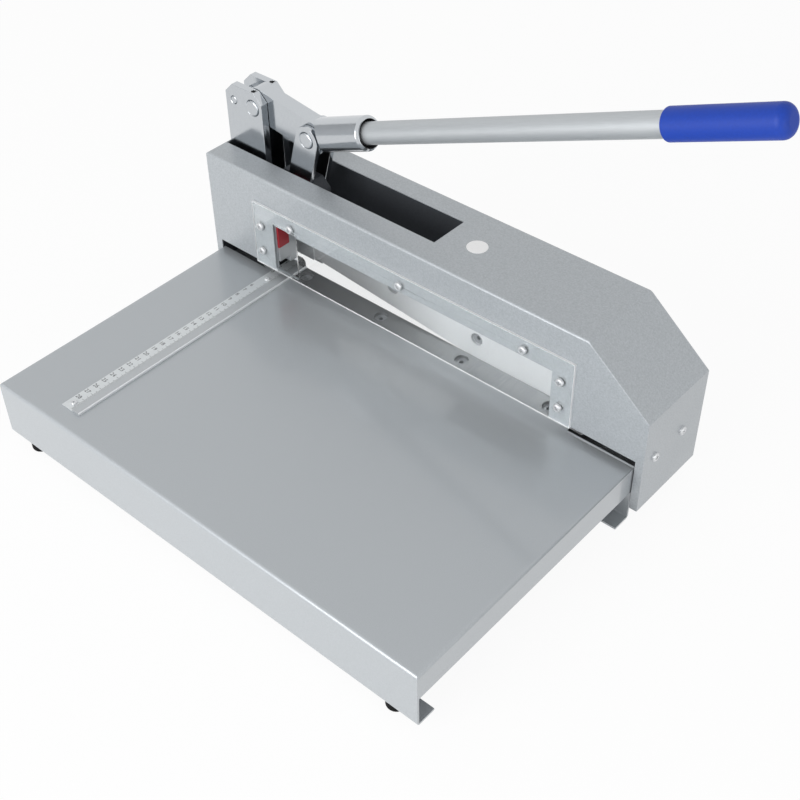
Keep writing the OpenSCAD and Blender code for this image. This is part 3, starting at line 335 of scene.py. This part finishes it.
def materials():
    """Every finish by the slot or detail that wears it, made once."""
    kept = {m["part"]: m for m in bpy.data.materials if "part" in m}
    if kept:
        return kept
    c = bpy.context.scene.shear_colours
    varnish = {"Coat Weight": 0.25, "Coat Roughness": 0.18}
    lacquer = {"Coat Weight": 0.8, "Coat Roughness": 0.1}
    made = {
        # Silver hammer paint: a dimpled skin that breaks each reflection into small soft lights
        "cover_paint": finish(
            "silver_hammer_paint",
            c.cover_low,
            c.cover,
            grain=1.5,
            rough=(0.34, 0.46),
            relief=0.07,
            Metallic=0.35,
            **varnish,
        ),
        # Smooth silver paint under lacquer: fine flake, a soft sheen, a bright line on each bend
        "table_paint": finish(
            "smooth_silver_paint",
            c.table_low,
            c.table,
            grain=0.7,
            rough=(0.34, 0.44),
            relief=0.01,
            patch=140,
            Metallic=0.35,
            **lacquer,
        ),
        # Bright chrome plate over ground steel: clear reflections with faint drawn lines
        "chrome": finish(
            "chrome_plate",
            shaded(c.chrome, 0.93),
            c.chrome,
            grain=0.5,
            rough=(0.12, 0.22),
            relief=0.002,
            drawn=(1, 1, 12),
            Metallic=1.0,
        ),
        # Milled plain steel: grey, with cutter lines along its length and an oily drift
        "frame_steel": finish(
            "milled_steel",
            shaded(c.steel, 0.8),
            c.steel,
            grain=0.6,
            rough=(0.32, 0.5),
            relief=0.006,
            drawn=(20, 1, 1),
            Metallic=0.75,
        ),
        # Bright zinc on panel screws: pale, with a small hard highlight on a softer sheen
        "zinc": finish(
            "zinc_plate",
            shaded(c.zinc, 0.9),
            c.zinc,
            grain=0.6,
            rough=(0.26, 0.38),
            relief=0.003,
            Metallic=0.6,
        ),
        # Dark primer, dull and uneven; inside the cover it is painted shade so the slot reads as
        # deep
        "primer": finish(
            "dark_primer",
            shaded(c.primer, 0.8),
            c.primer,
            grain=2.0,
            rough=(0.6, 0.75),
            relief=0.02,
            IOR=1.5,
        ),
        # On the socket's mouth and the rear link's front face this finish is painted shade
        # Black oxide on steel: deep grey with a dull oiled shine
        "black_steel": finish(
            "black_oxide_steel",
            shaded(c.black, 0.7),
            c.black,
            grain=0.8,
            rough=(0.32, 0.5),
            relief=0.004,
            Metallic=0.9,
        ),
        # Ground tool steel, bright: fine wheel lines across the blade, and painted shade toward its
        # tip
        "blade_steel": finish(
            "ground_blade_steel",
            shaded(c.blade, 0.94),
            c.blade,
            grain=0.5,
            rough=(0.34, 0.46),
            relief=0.002,
            drawn=(1, 1, 30),
            painted_shade=(-112, 150, 0.32),
            Metallic=0.5,
        ),
        # Ground tool steel, worn dull: rubbed grey patches, and painted shade toward its left end
        "bed_blade_steel": finish(
            "worn_blade_steel",
            shaded(c.bed_blade, 0.8),
            c.bed_blade,
            grain=0.6,
            rough=(0.36, 0.46),
            relief=0.003,
            drawn=(1, 25, 1),
            painted_shade=(-180, 260, 0.3),
            Metallic=1.0,
        ),
        # Turned bronze: warm, with the fine grain that a tool leaves
        "bronze": finish(
            "turned_bronze",
            shaded(c.bronze, 0.8),
            c.bronze,
            grain=0.5,
            rough=(0.28, 0.4),
            relief=0.003,
            Metallic=1.0,
        ),
        # Drawn aluminium with a satin face: soft lines along the handle
        "alloy": finish(
            "satin_aluminium",
            shaded(c.alloy, 0.9),
            c.alloy,
            grain=0.4,
            rough=(0.4, 0.5),
            relief=0.002,
            drawn=(40, 1, 1),
            turn=handle_turn(),
            Metallic=0.6,
        ),
        # Anodised ruler face: pale and even with a very fine brushed line
        "ruler_face": finish(
            "anodised_ruler_face",
            shaded(c.ruler, 0.92),
            c.ruler,
            grain=0.4,
            rough=(0.36, 0.46),
            relief=0.001,
            drawn=(1, 30, 1),
            Metallic=0.5,
        ),
        # Milled aluminium edge: lines along the cut, made bright as a painted highlight
        "milled": finish(
            "milled_aluminium_edge",
            shaded(c.milled, 0.92),
            c.milled,
            grain=0.4,
            rough=(0.3, 0.4),
            relief=0.002,
            drawn=(1, 30, 1),
            Metallic=0.4,
        ),
        # Moulded red plastic: fine spark grain and a dull shine, darkened toward the blade by
        # painted shade
        "red": finish(
            "red_moulded_plastic",
            shaded(c.red, 0.82),
            c.red,
            grain=0.5,
            rough=(0.36, 0.48),
            relief=0.008,
            painted_shade=(-156, -14, 0.25),
            IOR=1.5,
        ),
        # Dipped soft vinyl: smooth, with an orange-peel ripple and a broad highlight
        "grip_blue": finish(
            "blue_soft_vinyl",
            shaded(c.grip, 0.9),
            c.grip,
            grain=2.2,
            rough=(0.44, 0.54),
            relief=0.02,
            IOR=1.4,
        ),
        # Moulded rubber: near black, dull, with a dusty fine grain
        "rubber": finish(
            "black_moulded_rubber",
            shaded(c.rubber, 0.7),
            c.rubber,
            grain=0.6,
            rough=(0.55, 0.7),
            relief=0.01,
            IOR=1.2,
        ),
        # Printed ink on the ruler: matt dark grey
        "ink": finish(
            "printed_ink", shaded(c.ink, 0.8), c.ink, grain=0.4, rough=(0.5, 0.6), IOR=1.5
        ),
        # Blank vinyl sticker: pale and matt, with a paper-like unevenness
        "sticker": finish(
            "blank_vinyl_sticker",
            shaded(c.sticker, 0.95),
            c.sticker,
            grain=1.0,
            rough=(0.4, 0.5),
            relief=0.004,
            IOR=1.5,
        ),
        # Cast acrylic sheet: clear, with thin reflections on its faces
        "acrylic": clear_acrylic("clear_acrylic", c.acrylic, rough=0.02, clear=1.0),
        # Edge of the guard's cut-out: grey and dull as painted shade, so that it hardly shows over
        # the blade
        "acrylic_cut": clear_acrylic("dusty_acrylic_edge", c.acrylic_cut, rough=0.6, clear=0.3),
        # Sawn acrylic edge: frosted, so that it gathers light and shows as a pale line
        "acrylic_edge": clear_acrylic("sawn_acrylic_edge", c.acrylic_edge, rough=0.4, clear=0.2),
    }
    for part, material in made.items():
        material["part"] = part
    return made


# Meshes

# Over the first angle an edge is broken, and over the second its shading is split
SHARP = math.radians(30)
CREASE = SHARP + 0.1
# How far a face looks along an axis, as a cosine: it leans or turns that way, faces it or is square
LEANS, TURNS, FACES, SQUARE = 0.3, 0.5, 0.9, 0.99
# Distance within which points of a solid are one
WELD = 0.001 * MM
# Shares of a screw head's width: its shank, half its flat, and its cross's reach and half width
SHANK, HEAD_FLAT, CROSS_REACH, CROSS_HALF = 0.47, 0.34, 0.29, 0.06
# Shares of a screw head's height: its dome, the depth of its cross, and where its top starts
HEAD_DOME, CROSS_DEPTH, HEAD_TOP = 0.62, 0.6, 0.9
# Size of the cross at its floor, against its size at the top
CROSS_TAPER = 0.72
# Steps of a screw head's dome, and of a full turn
DOME_STEPS, TURN_STEPS = 5, 32
# Turn of the first screw's cross in radians, and of each next one against it, as hands leave them
FIRST_TURN, NEXT_TURN = 0.4, 0.7
# Marks of the ruler to a centimetre, and height of a digit as a share of its font's size
CENTIMETRE, DIGIT = 10, 0.7


def copied(node, edge):
    """A CAD node's mesh with its triangles joined and its sharp edges rounded."""
    shape = bmesh.new()
    shape.from_mesh(frame["nodes"][node].data)
    bmesh.ops.remove_doubles(shape, verts=shape.verts, dist=WELD)
    if edge:
        rounded(shape, sharp(shape), edge)
    return shape


def sharp(shape):
    """The edges of a shape that a file would break."""
    return [e for e in shape.edges if e.is_manifold and e.calc_face_angle() > SHARP]


def rounded(shape, edges, edge):
    """Rounds edges of a shape."""
    bmesh.ops.bevel(
        shape,
        geom=edges,
        offset=edge,
        offset_type="OFFSET",
        affect="EDGES",
        segments=2,
        profile=0.5,
        material=-1,
        clamp_overlap=False,
        loop_slide=False,
    )


def painted(shape, number, test):
    """Gives the faces that pass a test the finish of that number on their piece."""
    for face in shape.faces:
        if test(face):
            face.material_index = number


def verts_of(geometry):
    """The vertices in what a bmesh operator gives back."""
    return [g for g in geometry if isinstance(g, bmesh.types.BMVert)]


def islands(node):
    """The box of each separate solid in a CAD node, as its lowest and highest corner."""
    shape = copied(node, 0)
    left = set(shape.verts)
    boxes = []
    while left:
        group, reached = set(), [left.pop()]
        while reached:
            vert = reached.pop()
            group.add(vert)
            for line in vert.link_edges:
                other = line.other_vert(vert)
                if other in left:
                    left.remove(other)
                    reached.append(other)
        axes = list(zip(*(v.co for v in group)))
        boxes.append((Vector(min(a) for a in axes), Vector(max(a) for a in axes)))
    shape.free()
    return sorted(boxes, key=lambda b: tuple(b[0]))


def piece(name, shape, parts, like, *nodes):
    """Makes a shape a piece that rides with the node it is like and stands for other nodes."""
    for face in shape.faces:
        face.smooth = True
    for line in shape.edges:
        line.smooth = not line.is_manifold or line.calc_face_angle() < CREASE
    mesh = bpy.data.meshes.new(name)
    shape.to_mesh(mesh)
    shape.free()
    for part in parts:
        mesh.materials.append(materials()[part])
    made = bpy.data.objects.new(name, mesh)
    bpy.context.scene.collection.objects.link(made)
    evened = made.modifiers.new("Even shading", "WEIGHTED_NORMAL")
    evened.keep_sharp = True
    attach(made, frame["nodes"][like]["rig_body"])
    if nodes:
        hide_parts(*nodes)


def finished(node, shape, *others):
    """Puts a shape in a node's place, with the node's own finish and any others after it."""
    piece(node + "_finished", shape, [SLOTS[node], *others], node, node)


def dress(edge, *nodes):
    """Gives each node a finished copy with rounded edges."""
    for node in nodes:
        finished(node, copied(node, edge))


def cross_screw(shape, seat, axis, spin, head, height, depth):
    """Adds a pan-head screw with a cross recess, its head's underside at its seat."""
    before = set(shape.verts)
    shank = SHANK * head
    flat, dome = HEAD_FLAT * head, HEAD_DOME * height
    side = head / 2 - flat
    outline = [(0, -depth), (shank / 2, -depth), (shank / 2, 0), (head / 2, 0)]
    for step in range(DOME_STEPS + 1):
        turn = math.radians(90 * step / DOME_STEPS)
        outline.append((flat + side * math.cos(turn), height - dome + dome * math.sin(turn)))
    line = [shape.verts.new((x, 0, z)) for x, z in outline]
    edges = [shape.edges.new(pair) for pair in zip(line, line[1:])]
    bmesh.ops.spin(
        shape,
        geom=line + edges,
        cent=(0, 0, 0),
        axis=UP,
        angle=math.tau,
        steps=TURN_STEPS,
        use_merge=True,
    )
    turned = [v for v in shape.verts if v not in before]
    bmesh.ops.remove_doubles(shape, verts=turned, dist=WELD)
    open_edges = [e for e in shape.edges if e.is_boundary and e.verts[0] not in before]
    rim = [e for e in open_edges if e.verts[0].co.z > HEAD_TOP * height]
    reach, half = CROSS_REACH * head, CROSS_HALF * head
    corner = [(reach, -half), (reach, half), (half, half)]
    points = []
    for quarter in range(4):
        turn = Matrix.Rotation(quarter * math.pi / 2, 3, "Z")
        points += [turn @ Vector((x, y, height)) for x, y in corner]
    cross = [shape.verts.new(p) for p in points]
    sides = [shape.edges.new((a, b)) for a, b in zip(cross, cross[1:] + cross[:1])]
    bmesh.ops.triangle_fill(shape, edges=rim + sides, use_beauty=True)
    sunk = bmesh.ops.extrude_edge_only(shape, edges=sides)["geom"]
    low = verts_of(sunk)
    bmesh.ops.scale(shape, vec=(CROSS_TAPER, CROSS_TAPER, 1), verts=low)
    bmesh.ops.translate(shape, vec=(0, 0, -CROSS_DEPTH * height), verts=low)
    floor = [e for e in sunk if isinstance(e, bmesh.types.BMEdge) and e.is_boundary]
    bmesh.ops.triangle_fill(shape, edges=floor, use_beauty=True)
    new = [v for v in shape.verts if v not in before]
    faces = list({f for v in new for f in v.link_faces})
    bmesh.ops.recalc_face_normals(shape, faces=faces)
    place = axis.to_track_quat("Z", "Y").to_matrix() @ Matrix.Rotation(spin, 3, "Z")
    bmesh.ops.rotate(shape, cent=(0, 0, 0), matrix=place, verts=new)
    bmesh.ops.translate(shape, vec=seat, verts=new)


def panel_screws(node, height, facing):
    """Stands cross-recess screws for a node's plain ones; facing gives a screw's way at a place."""
    shape = bmesh.new()
    for number, (low, high) in enumerate(islands(node)):
        seat = (low + high) / 2
        way = facing(seat)
        run = max(range(3), key=lambda i: abs(way[i]))
        across = next(i for i in range(3) if i != run)
        seat[run] = high[run] - height if way[run] > 0 else low[run] + height
        head = high[across] - low[across]
        depth = high[run] - low[run] - height
        spin = FIRST_TURN + NEXT_TURN * number
        cross_screw(shape, seat, way, spin, head, height, depth)
    piece(node + "_finished", shape, ["zinc"], node, node)


def written(shape, words, tall, thick, place):
    """Adds words as thin flat letters whose left end is at a place, read from the table's front."""
    text = bpy.data.curves.new(words, "FONT")
    text.body = words
    text.size = tall / DIGIT
    text.resolution_u = 2
    text.extrude = thick / 2
    text.align_y = "CENTER"
    holder = bpy.data.objects.new(words, text)
    mesh = bpy.data.meshes.new_from_object(holder)
    before = set(shape.verts)
    shape.from_mesh(mesh)
    new = [v for v in shape.verts if v not in before]
    bmesh.ops.translate(shape, vec=place, verts=new)
    bpy.data.objects.remove(holder)
    bpy.data.curves.remove(text)
    bpy.data.meshes.remove(mesh)


# Pieces


class SHEAR_OT_table(bpy.types.Operator):
    """Folded table on its rubber feet"""

    bl_idname = "shear.table"
    bl_label = "Table"
    bl_options = {"REGISTER", "UNDO"}

    def execute(self, context):
        sizes = context.scene.shear_sizes
        shape = copied("table_tray", 0)
        left, right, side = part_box("lower_blade")[0].x, LIP_END, sizes.lip_side
        for x in (left - side, left, right, right + side):
            whole = shape.verts[:] + shape.edges[:] + shape.faces[:]
            bmesh.ops.bisect_plane(
                shape, geom=whole, dist=WELD, plane_co=(x, 0, 0), plane_no=RIGHT
            )
        # The rear fold is squared up and drawn out as the lip, and right of that its edge turns up
        fold, near = sizes.fold, sizes.small_edge
        y, z = TABLE_HIGH.y - fold, TABLE_HIGH.z - fold
        for vert in shape.verts:
            across, up = vert.co.y - y, vert.co.z - z
            if across > 0 and up > near and math.hypot(across, up) > fold - near:
                vert.co.z = TABLE_HIGH.z
                if vert.co.x > right + side / 2:
                    vert.co.z += sizes.upturn * max(0, 2 * across / fold - 1)
                elif vert.co.x > left - side / 2:
                    vert.co.y += sizes.lip
        shape.normal_update()
        finished("table_tray", shape)
        dress(sizes.sheet_edge, "feet")
        dress(sizes.small_edge, "tray_bolts")
        panel_screws("foot_screws", sizes.head_height, lambda middle: -UP)
        return {"FINISHED"}


class SHEAR_OT_cover(bpy.types.Operator):
    """Painted cover with its screws and a blank sticker"""

    bl_idname = "shear.cover"
    bl_label = "Cover"
    bl_options = {"REGISTER", "UNDO"}

    def execute(self, context):
        sizes = context.scene.shear_sizes
        low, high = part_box("housing_cover")
        shape = copied("housing_cover", 0)
        slope = {f for f in shape.faces if f.normal.x > LEANS and f.normal.z > LEANS}
        bends = [e for e in sharp(shape) if len(slope.intersection(e.link_faces)) == 1]
        rounded(shape, bends, sizes.slope_edge)
        others = [e for e in shape.edges if e.calc_face_angle(0) > CREASE]
        rounded(shape, others, sizes.sheet_edge)

        def inside(face):
            """Whether a face looks inward from under the cover's skin."""
            a, b = face.calc_center_median() - low, high - face.calc_center_median()
            return face.normal.dot(b - a) > 0 and min(a.x, a.y, b.x, b.y, b.z) > sizes.skin

        # The cover's inside faces take the dark primer as painted shade
        painted(shape, 1, inside)
        finished("housing_cover", shape, "primer")
        middle = at(0, 0, 0).x
        panel_screws("cover_screws", sizes.head_height, lambda p: RIGHT if p.x > middle else -RIGHT)
        shape = bmesh.new()
        bmesh.ops.create_circle(shape, cap_ends=True, segments=72, radius=sizes.sticker / 2)
        top = verts_of(bmesh.ops.extrude_face_region(shape, geom=shape.faces[:])["geom"])
        bmesh.ops.translate(shape, vec=UP * sizes.sticker_thick, verts=top)
        bmesh.ops.recalc_face_normals(shape, faces=shape.faces)
        rim = [e for e in shape.edges if all(v in top for v in e.verts)]
        rounded(shape, rim, sizes.sticker_edge)
        place = Vector((STICKER_MIDDLE.x, STICKER_MIDDLE.y, high.z))
        bmesh.ops.translate(shape, vec=place, verts=shape.verts)
        piece("blank_sticker", shape, ["sticker"], "housing_cover")
        return {"FINISHED"}


class SHEAR_OT_guard(bpy.types.Operator):
    """Clear guard with its screws and nuts"""

    bl_idname = "shear.guard"
    bl_label = "Guard"
    bl_options = {"REGISTER", "UNDO"}

    def execute(self, context):
        sizes = context.scene.shear_sizes
        edge = sizes.sheet_edge
        low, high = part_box("guard")
        shape = copied("guard", edge)
        behind = [v for v in shape.verts if v.co.y > high.y - edge - WELD]
        bmesh.ops.translate(shape, vec=FRONT * sizes.guard_gap, verts=behind)

        def outer(face):
            """Whether a face is on the guard's outer edge."""
            a, b = face.calc_center_median() - low, high - face.calc_center_median()
            return abs(face.normal.y) < SQUARE and min(a.x, a.z, b.x, b.z) < 2 * edge

        # The cut-out's edges facing up and right get the grey finish as painted shade
        painted(shape, 2, lambda f: f.normal.z > LEANS or f.normal.x > LEANS)
        painted(shape, 1, outer)
        finished("guard", shape, "acrylic_edge", "acrylic_cut")
        panel_screws("guard_screws", sizes.head_height, lambda middle: FRONT)
        dress(sizes.small_edge, "guard_nuts")
        return {"FINISHED"}


class SHEAR_OT_guide(bpy.types.Operator):
    """Guide stack behind the guard's cut-out"""

    bl_idname = "shear.guide"
    bl_label = "Guide"
    bl_options = {"REGISTER", "UNDO"}

    def execute(self, context):
        sizes = context.scene.shear_sizes
        dress(sizes.sheet_edge, "guide_block", "red_block", "guide_plate")
        dress(sizes.small_edge, "guide_screws")
        return {"FINISHED"}


class SHEAR_OT_ruler(bpy.types.Operator):
    """Ruler with its marks and numbers, fence and stop"""

    bl_idname = "shear.ruler"
    bl_label = "Ruler"
    bl_options = {"REGISTER", "UNDO"}

    def execute(self, context):
        sizes = context.scene.shear_sizes
        dress(sizes.sheet_edge, "ruler", "fence_stop")
        shape = copied("fence_strip", sizes.sheet_edge)
        # The fence's right side gets the bright milled finish as a painted highlight
        painted(shape, 1, lambda f: f.normal.x > TURNS)
        finished("fence_strip", shape, "milled")
        panel_screws("ruler_screws", sizes.ruler_head, lambda middle: UP)
        low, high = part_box("ruler")
        # The blade's line is the ruler's zero, and its marks run to the front from there
        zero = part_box("upper_blade")[0].y
        shape = bmesh.new()
        for number in range(1, sizes.marks + 1):
            y = zero - number * MM
            if low.y + sizes.mark_end < y < high.y - sizes.mark_end:
                reach = sizes.mark_short
                if number % CENTIMETRE == 0:
                    reach = sizes.mark_long
                elif number % (CENTIMETRE // 2) == 0:
                    reach = sizes.mark_middle
                made = bmesh.ops.create_cube(shape, size=1)["verts"]
                bmesh.ops.scale(shape, vec=(reach, sizes.mark_width, sizes.ink), verts=made)
                place = (high.x - sizes.mark_inset - reach / 2, y, high.z)
                bmesh.ops.translate(shape, vec=place, verts=made)
        piece("ruler_marks", shape, ["ink"], "ruler")
        # No number stands where a screw's head would cover it
        tall = sizes.number_height
        heads = [(a.y - tall, b.y + tall / 2) for a, b in islands("ruler_screws")]
        shape = bmesh.new()
        for number in range(1, sizes.marks // CENTIMETRE + 1):
            y = zero - number * CENTIMETRE * MM
            covered = any(a < y < b for a, b in heads)
            if low.y + sizes.number_end < y < high.y - sizes.number_end and not covered:
                place = Vector((low.x + sizes.number_inset, y, high.z))
                written(shape, str(number), tall, sizes.ink, place)
        piece("ruler_numbers", shape, ["ink"], "ruler")
        return {"FINISHED"}


class SHEAR_OT_blades(bpy.types.Operator):
    """Upper and lower blade with their screws"""

    bl_idname = "shear.blades"
    bl_label = "Blades"
    bl_options = {"REGISTER", "UNDO"}

    def execute(self, context):
        sizes = context.scene.shear_sizes
        dress(sizes.steel_edge, "upper_blade")
        shape = copied("lower_blade", 0)
        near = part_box("lower_blade")[0].y + sizes.small_edge
        front = [v for v in shape.verts if v.co.y < near]
        bmesh.ops.translate(shape, vec=-FRONT * sizes.lip, verts=front)
        rounded(shape, sharp(shape), sizes.steel_edge)
        finished("lower_blade", shape)
        dress(sizes.small_edge, "lower_blade_screws", "upper_blade_screws")
        return {"FINISHED"}


class SHEAR_OT_tower(bpy.types.Operator):
    """Plated tower that holds the lever"""

    bl_idname = "shear.tower"
    bl_label = "Tower"
    bl_options = {"REGISTER", "UNDO"}

    def execute(self, context):
        sizes = context.scene.shear_sizes
        dress(sizes.plate_edge, "tower_plate_front", "tower_plate_rear")
        dress(sizes.plate_edge, "tower_spacer_rod", "lever_pivot_pin")
        dress(sizes.small_edge, "pin_set_screws")
        return {"FINISHED"}


class SHEAR_OT_lever(bpy.types.Operator):
    """Lever with its socket, tube and grip"""

    bl_idname = "shear.lever"
    bl_label = "Lever"
    bl_options = {"REGISTER", "UNDO"}

    def execute(self, context):
        sizes = context.scene.shear_sizes
        dress(sizes.plate_edge, "lever_arm")
        dress(sizes.sheet_edge, "handle_tube", "grip")
        shape = copied("handle_socket", sizes.plate_edge)
        middle = sum(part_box("handle_tube"), Vector()) / 2
        turn = handle_turn()
        along = Vector((math.cos(turn), 0, math.sin(turn)))
        end = max((v.co - middle).dot(along) for v in shape.verts)

        def in_mouth(face):
            """Whether a face looks toward the handle's axis near the end of its socket."""
            place = face.calc_center_median() - middle
            deep = place.dot(along)
            return deep > end - sizes.mouth and face.normal.dot(deep * along - place) > 0

        # The socket's mouth takes black oxide as painted shade
        painted(shape, 1, in_mouth)
        finished("handle_socket", shape, "black_steel")
        return {"FINISHED"}


class SHEAR_OT_link(bpy.types.Operator):
    """Link between the lever and the beam"""

    bl_idname = "shear.link"
    bl_label = "Link"
    bl_options = {"REGISTER", "UNDO"}

    def execute(self, context):
        sizes = context.scene.shear_sizes
        dress(sizes.plate_edge, "link_plate_front", "link_top_pin", "link_bottom_pin")
        shape = copied("link_plate_rear", sizes.plate_edge)
        # The rear link's front face takes black oxide as painted shade between the links
        painted(shape, 1, lambda f: f.normal.dot(FRONT) > FACES)
        finished("link_plate_rear", shape, "black_steel")
        return {"FINISHED"}


class SHEAR_OT_frame(bpy.types.Operator):
    """Steel frame and swing beam under the cover"""

    bl_idname = "shear.frame"
    bl_label = "Frame"
    bl_options = {"REGISTER", "UNDO"}

    def execute(self, context):
        sizes = context.scene.shear_sizes
        dress(sizes.steel_edge, "bed_plate", "blade_bed", "right_end_plate")
        dress(sizes.steel_edge, "tower_block", "pivot_block")
        dress(sizes.steel_edge, "pivot_plate_front", "pivot_plate_rear")
        shape = copied("blade_beam", sizes.steel_edge)

        def on_lug(face):
            """Whether a face is on the lug that the link holds."""
            place = face.calc_center_median()
            return place.x < LUG_CORNER.x and place.z > LUG_CORNER.z

        painted(shape, 1, on_lug)
        finished("blade_beam", shape, "primer")
        dress(sizes.small_edge, "bed_screws", "end_plate_screws", "frame_bolts")
        dress(sizes.small_edge, "pivot_bolt", "pivot_washers", "pivot_nut", "pivot_bush")
        return {"FINISHED"}


# Studio

# Half the floor's width in m, and how much of it shows as plain white
FLOOR_HALF, FLOOR_WHITE = 6, 0.93
# Strength of the surroundings as light on the machine
SKY = 0.55
# Each lamp's place, width in m and power in W, and the point that all of them face
LAMPS = {
    "front_lamp": (at(-200, -1900, 800), 1.6, 38),
    "side_lamp": (at(1700, -100, 450), 1.2, 6),
}
LIT_POINT = at(0, 200, 0)
# Opposite corners of the grey card
CARD_LOW, CARD_HIGH = at(-1600, -1500, -70), at(-1600, 300, 900)
# Camera fitted to the machine's straight edges: its lens and sensor in mm, place, aim and roll
LENS, SENSOR = 58.693, 36
CAMERA_PLACE, CAMERA_AIM = at(629.357, -434.774, 786.597), at(44.060, 221.706, 0)
CAMERA_ROLL = math.radians(-0.954)


def lamp(name, place, size, power):
    """A square soft lamp."""
    light = bpy.data.lights.new(name, "AREA")
    light.size = size
    light.energy = power
    holder = bpy.data.objects.new(name, light)
    holder.location = place
    holder.rotation_euler = (place - LIT_POINT).to_track_quat("Z", "Y").to_euler()
    bpy.context.scene.collection.objects.link(holder)


def staged(name, shape, material):
    """Makes a shape a part of the studio."""
    mesh = bpy.data.meshes.new(name)
    shape.to_mesh(mesh)
    shape.free()
    mesh.materials.append(material)
    made = bpy.data.objects.new(name, mesh)
    bpy.context.scene.collection.objects.link(made)
    return made


def seen(tree):
    """A socket that is 1 for rays that show the background, straight on or in metal and glass."""
    path = add(tree, "LightPath")
    straight, shiny, through = (
        path.outputs[f"Is {kind} Ray"] for kind in ("Camera", "Glossy", "Transmission")
    )
    first = add(tree, "Math", {0: straight, 1: shiny}, operation="MAXIMUM").outputs["Value"]
    return add(tree, "Math", {0: first, 1: through}, operation="MAXIMUM").outputs["Value"]


def studio_floor(tone):
    """A matt paper floor that shows as near white and keeps the machine's shadow."""
    shape = bmesh.new()
    bmesh.ops.create_grid(shape, x_segments=1, y_segments=1, size=FLOOR_HALF)
    paper = finish("matt_paper", shaded(tone, 0.99), tone, grain=40, rough=(0.85, 0.95))
    tree = paper.node_tree
    glow = add(tree, "Emission", {"Color": WHITE, "Strength": 1.0})
    share = add(tree, "Math", {0: seen(tree), 1: FLOOR_WHITE}, operation="MULTIPLY")
    mixed(paper, share.outputs["Value"], glow.outputs["Emission"])
    staged("studio_floor", shape, paper)


def side_card(tone):
    """A matt upright card that only shows in metal, as the wall of a studio does."""
    shape = bmesh.new()
    a, b = CARD_LOW, CARD_HIGH
    corners = [(a.x, a.y, a.z), (b.x, b.y, a.z), (b.x, b.y, b.z), (a.x, a.y, b.z)]
    shape.faces.new([shape.verts.new(corner) for corner in corners])
    board = finish("matt_side_card", shaded(tone, 0.9), tone, grain=60, rough=(0.9, 1.0))
    made = staged("side_card", shape, board)
    made.visible_camera = made.visible_diffuse = False
    made.visible_transmission = made.visible_shadow = False


def surroundings():
    """A white world that lights the machine softly."""
    world = bpy.data.worlds.new("white_studio")
    world.use_nodes = True
    tree = world.node_tree
    tree.nodes.clear()
    light = add(tree, "Background", {"Color": WHITE, "Strength": SKY}).outputs["Background"]
    white = add(tree, "Background", {"Color": WHITE, "Strength": 1.0}).outputs["Background"]
    both = add(tree, "MixShader", {0: seen(tree), 1: light, 2: white})
    add(tree, "OutputWorld", {"Surface": both.outputs["Shader"]})
    bpy.context.scene.world = world


def camera():
    """The photograph's view."""
    made = bpy.data.cameras.new("camera")
    made.sensor_width = SENSOR
    made.lens = LENS
    holder = bpy.data.objects.new("camera", made)
    aim = (CAMERA_AIM - CAMERA_PLACE).to_track_quat("-Z", "Y").to_matrix()
    turn = aim @ Matrix.Rotation(CAMERA_ROLL, 3, "Z")
    holder.matrix_world = Matrix.Translation(CAMERA_PLACE) @ turn.to_4x4()
    bpy.context.scene.collection.objects.link(holder)
    bpy.context.scene.camera = holder


class SHEAR_OT_studio(bpy.types.Operator):
    """Pale floor, white surroundings, soft lamps and the camera"""

    bl_idname = "shear.studio"
    bl_label = "Studio"
    bl_options = {"REGISTER", "UNDO"}

    def execute(self, context):
        context.scene.view_settings.view_transform = "Standard"
        colours = context.scene.shear_colours
        studio_floor(colours.floor)
        surroundings()
        for name, (place, size, power) in LAMPS.items():
            lamp(name, place, size, power)
        side_card(colours.card)
        camera()
        return {"FINISHED"}


class SHEAR_PT_looks(bpy.types.Panel):
    """Sizes, colours and steps of the shear's looks"""

    bl_idname = "SHEAR_PT_looks"
    bl_label = "Bench Shear"
    bl_space_type = "VIEW_3D"
    bl_region_type = "UI"
    bl_category = "Shear"

    def draw(self, context):
        for group in (context.scene.shear_sizes, context.scene.shear_colours):
            box = self.layout.box()
            for name in group.__annotations__:
                box.prop(group, name)
        for step in STEPS:
            self.layout.operator(step.bl_idname)


STEPS = (
    SHEAR_OT_studio,
    SHEAR_OT_table,
    SHEAR_OT_cover,
    SHEAR_OT_guard,
    SHEAR_OT_guide,
    SHEAR_OT_ruler,
    SHEAR_OT_blades,
    SHEAR_OT_tower,
    SHEAR_OT_lever,
    SHEAR_OT_link,
    SHEAR_OT_frame,
)
CLASSES = (ShearSizes, ShearColours, *STEPS, SHEAR_PT_looks)


def register():
    """Adds the classes and their settings to Blender."""
    for each in CLASSES:
        bpy.utils.register_class(each)
    bpy.types.Scene.shear_sizes = PointerProperty(type=ShearSizes)
    bpy.types.Scene.shear_colours = PointerProperty(type=ShearColours)


def unregister():
    """Takes the classes and their settings out again."""
    del bpy.types.Scene.shear_colours
    del bpy.types.Scene.shear_sizes
    for each in reversed(CLASSES):
        bpy.utils.unregister_class(each)


def main():
    """Builds the studio and every piece."""
    register()
    bpy.ops.shear.studio()
    bpy.ops.shear.table()
    bpy.ops.shear.cover()
    bpy.ops.shear.guard()
    bpy.ops.shear.guide()
    bpy.ops.shear.ruler()
    bpy.ops.shear.blades()
    bpy.ops.shear.tower()
    bpy.ops.shear.lever()
    bpy.ops.shear.link()
    bpy.ops.shear.frame()


if __name__ == "__main__":
    main()
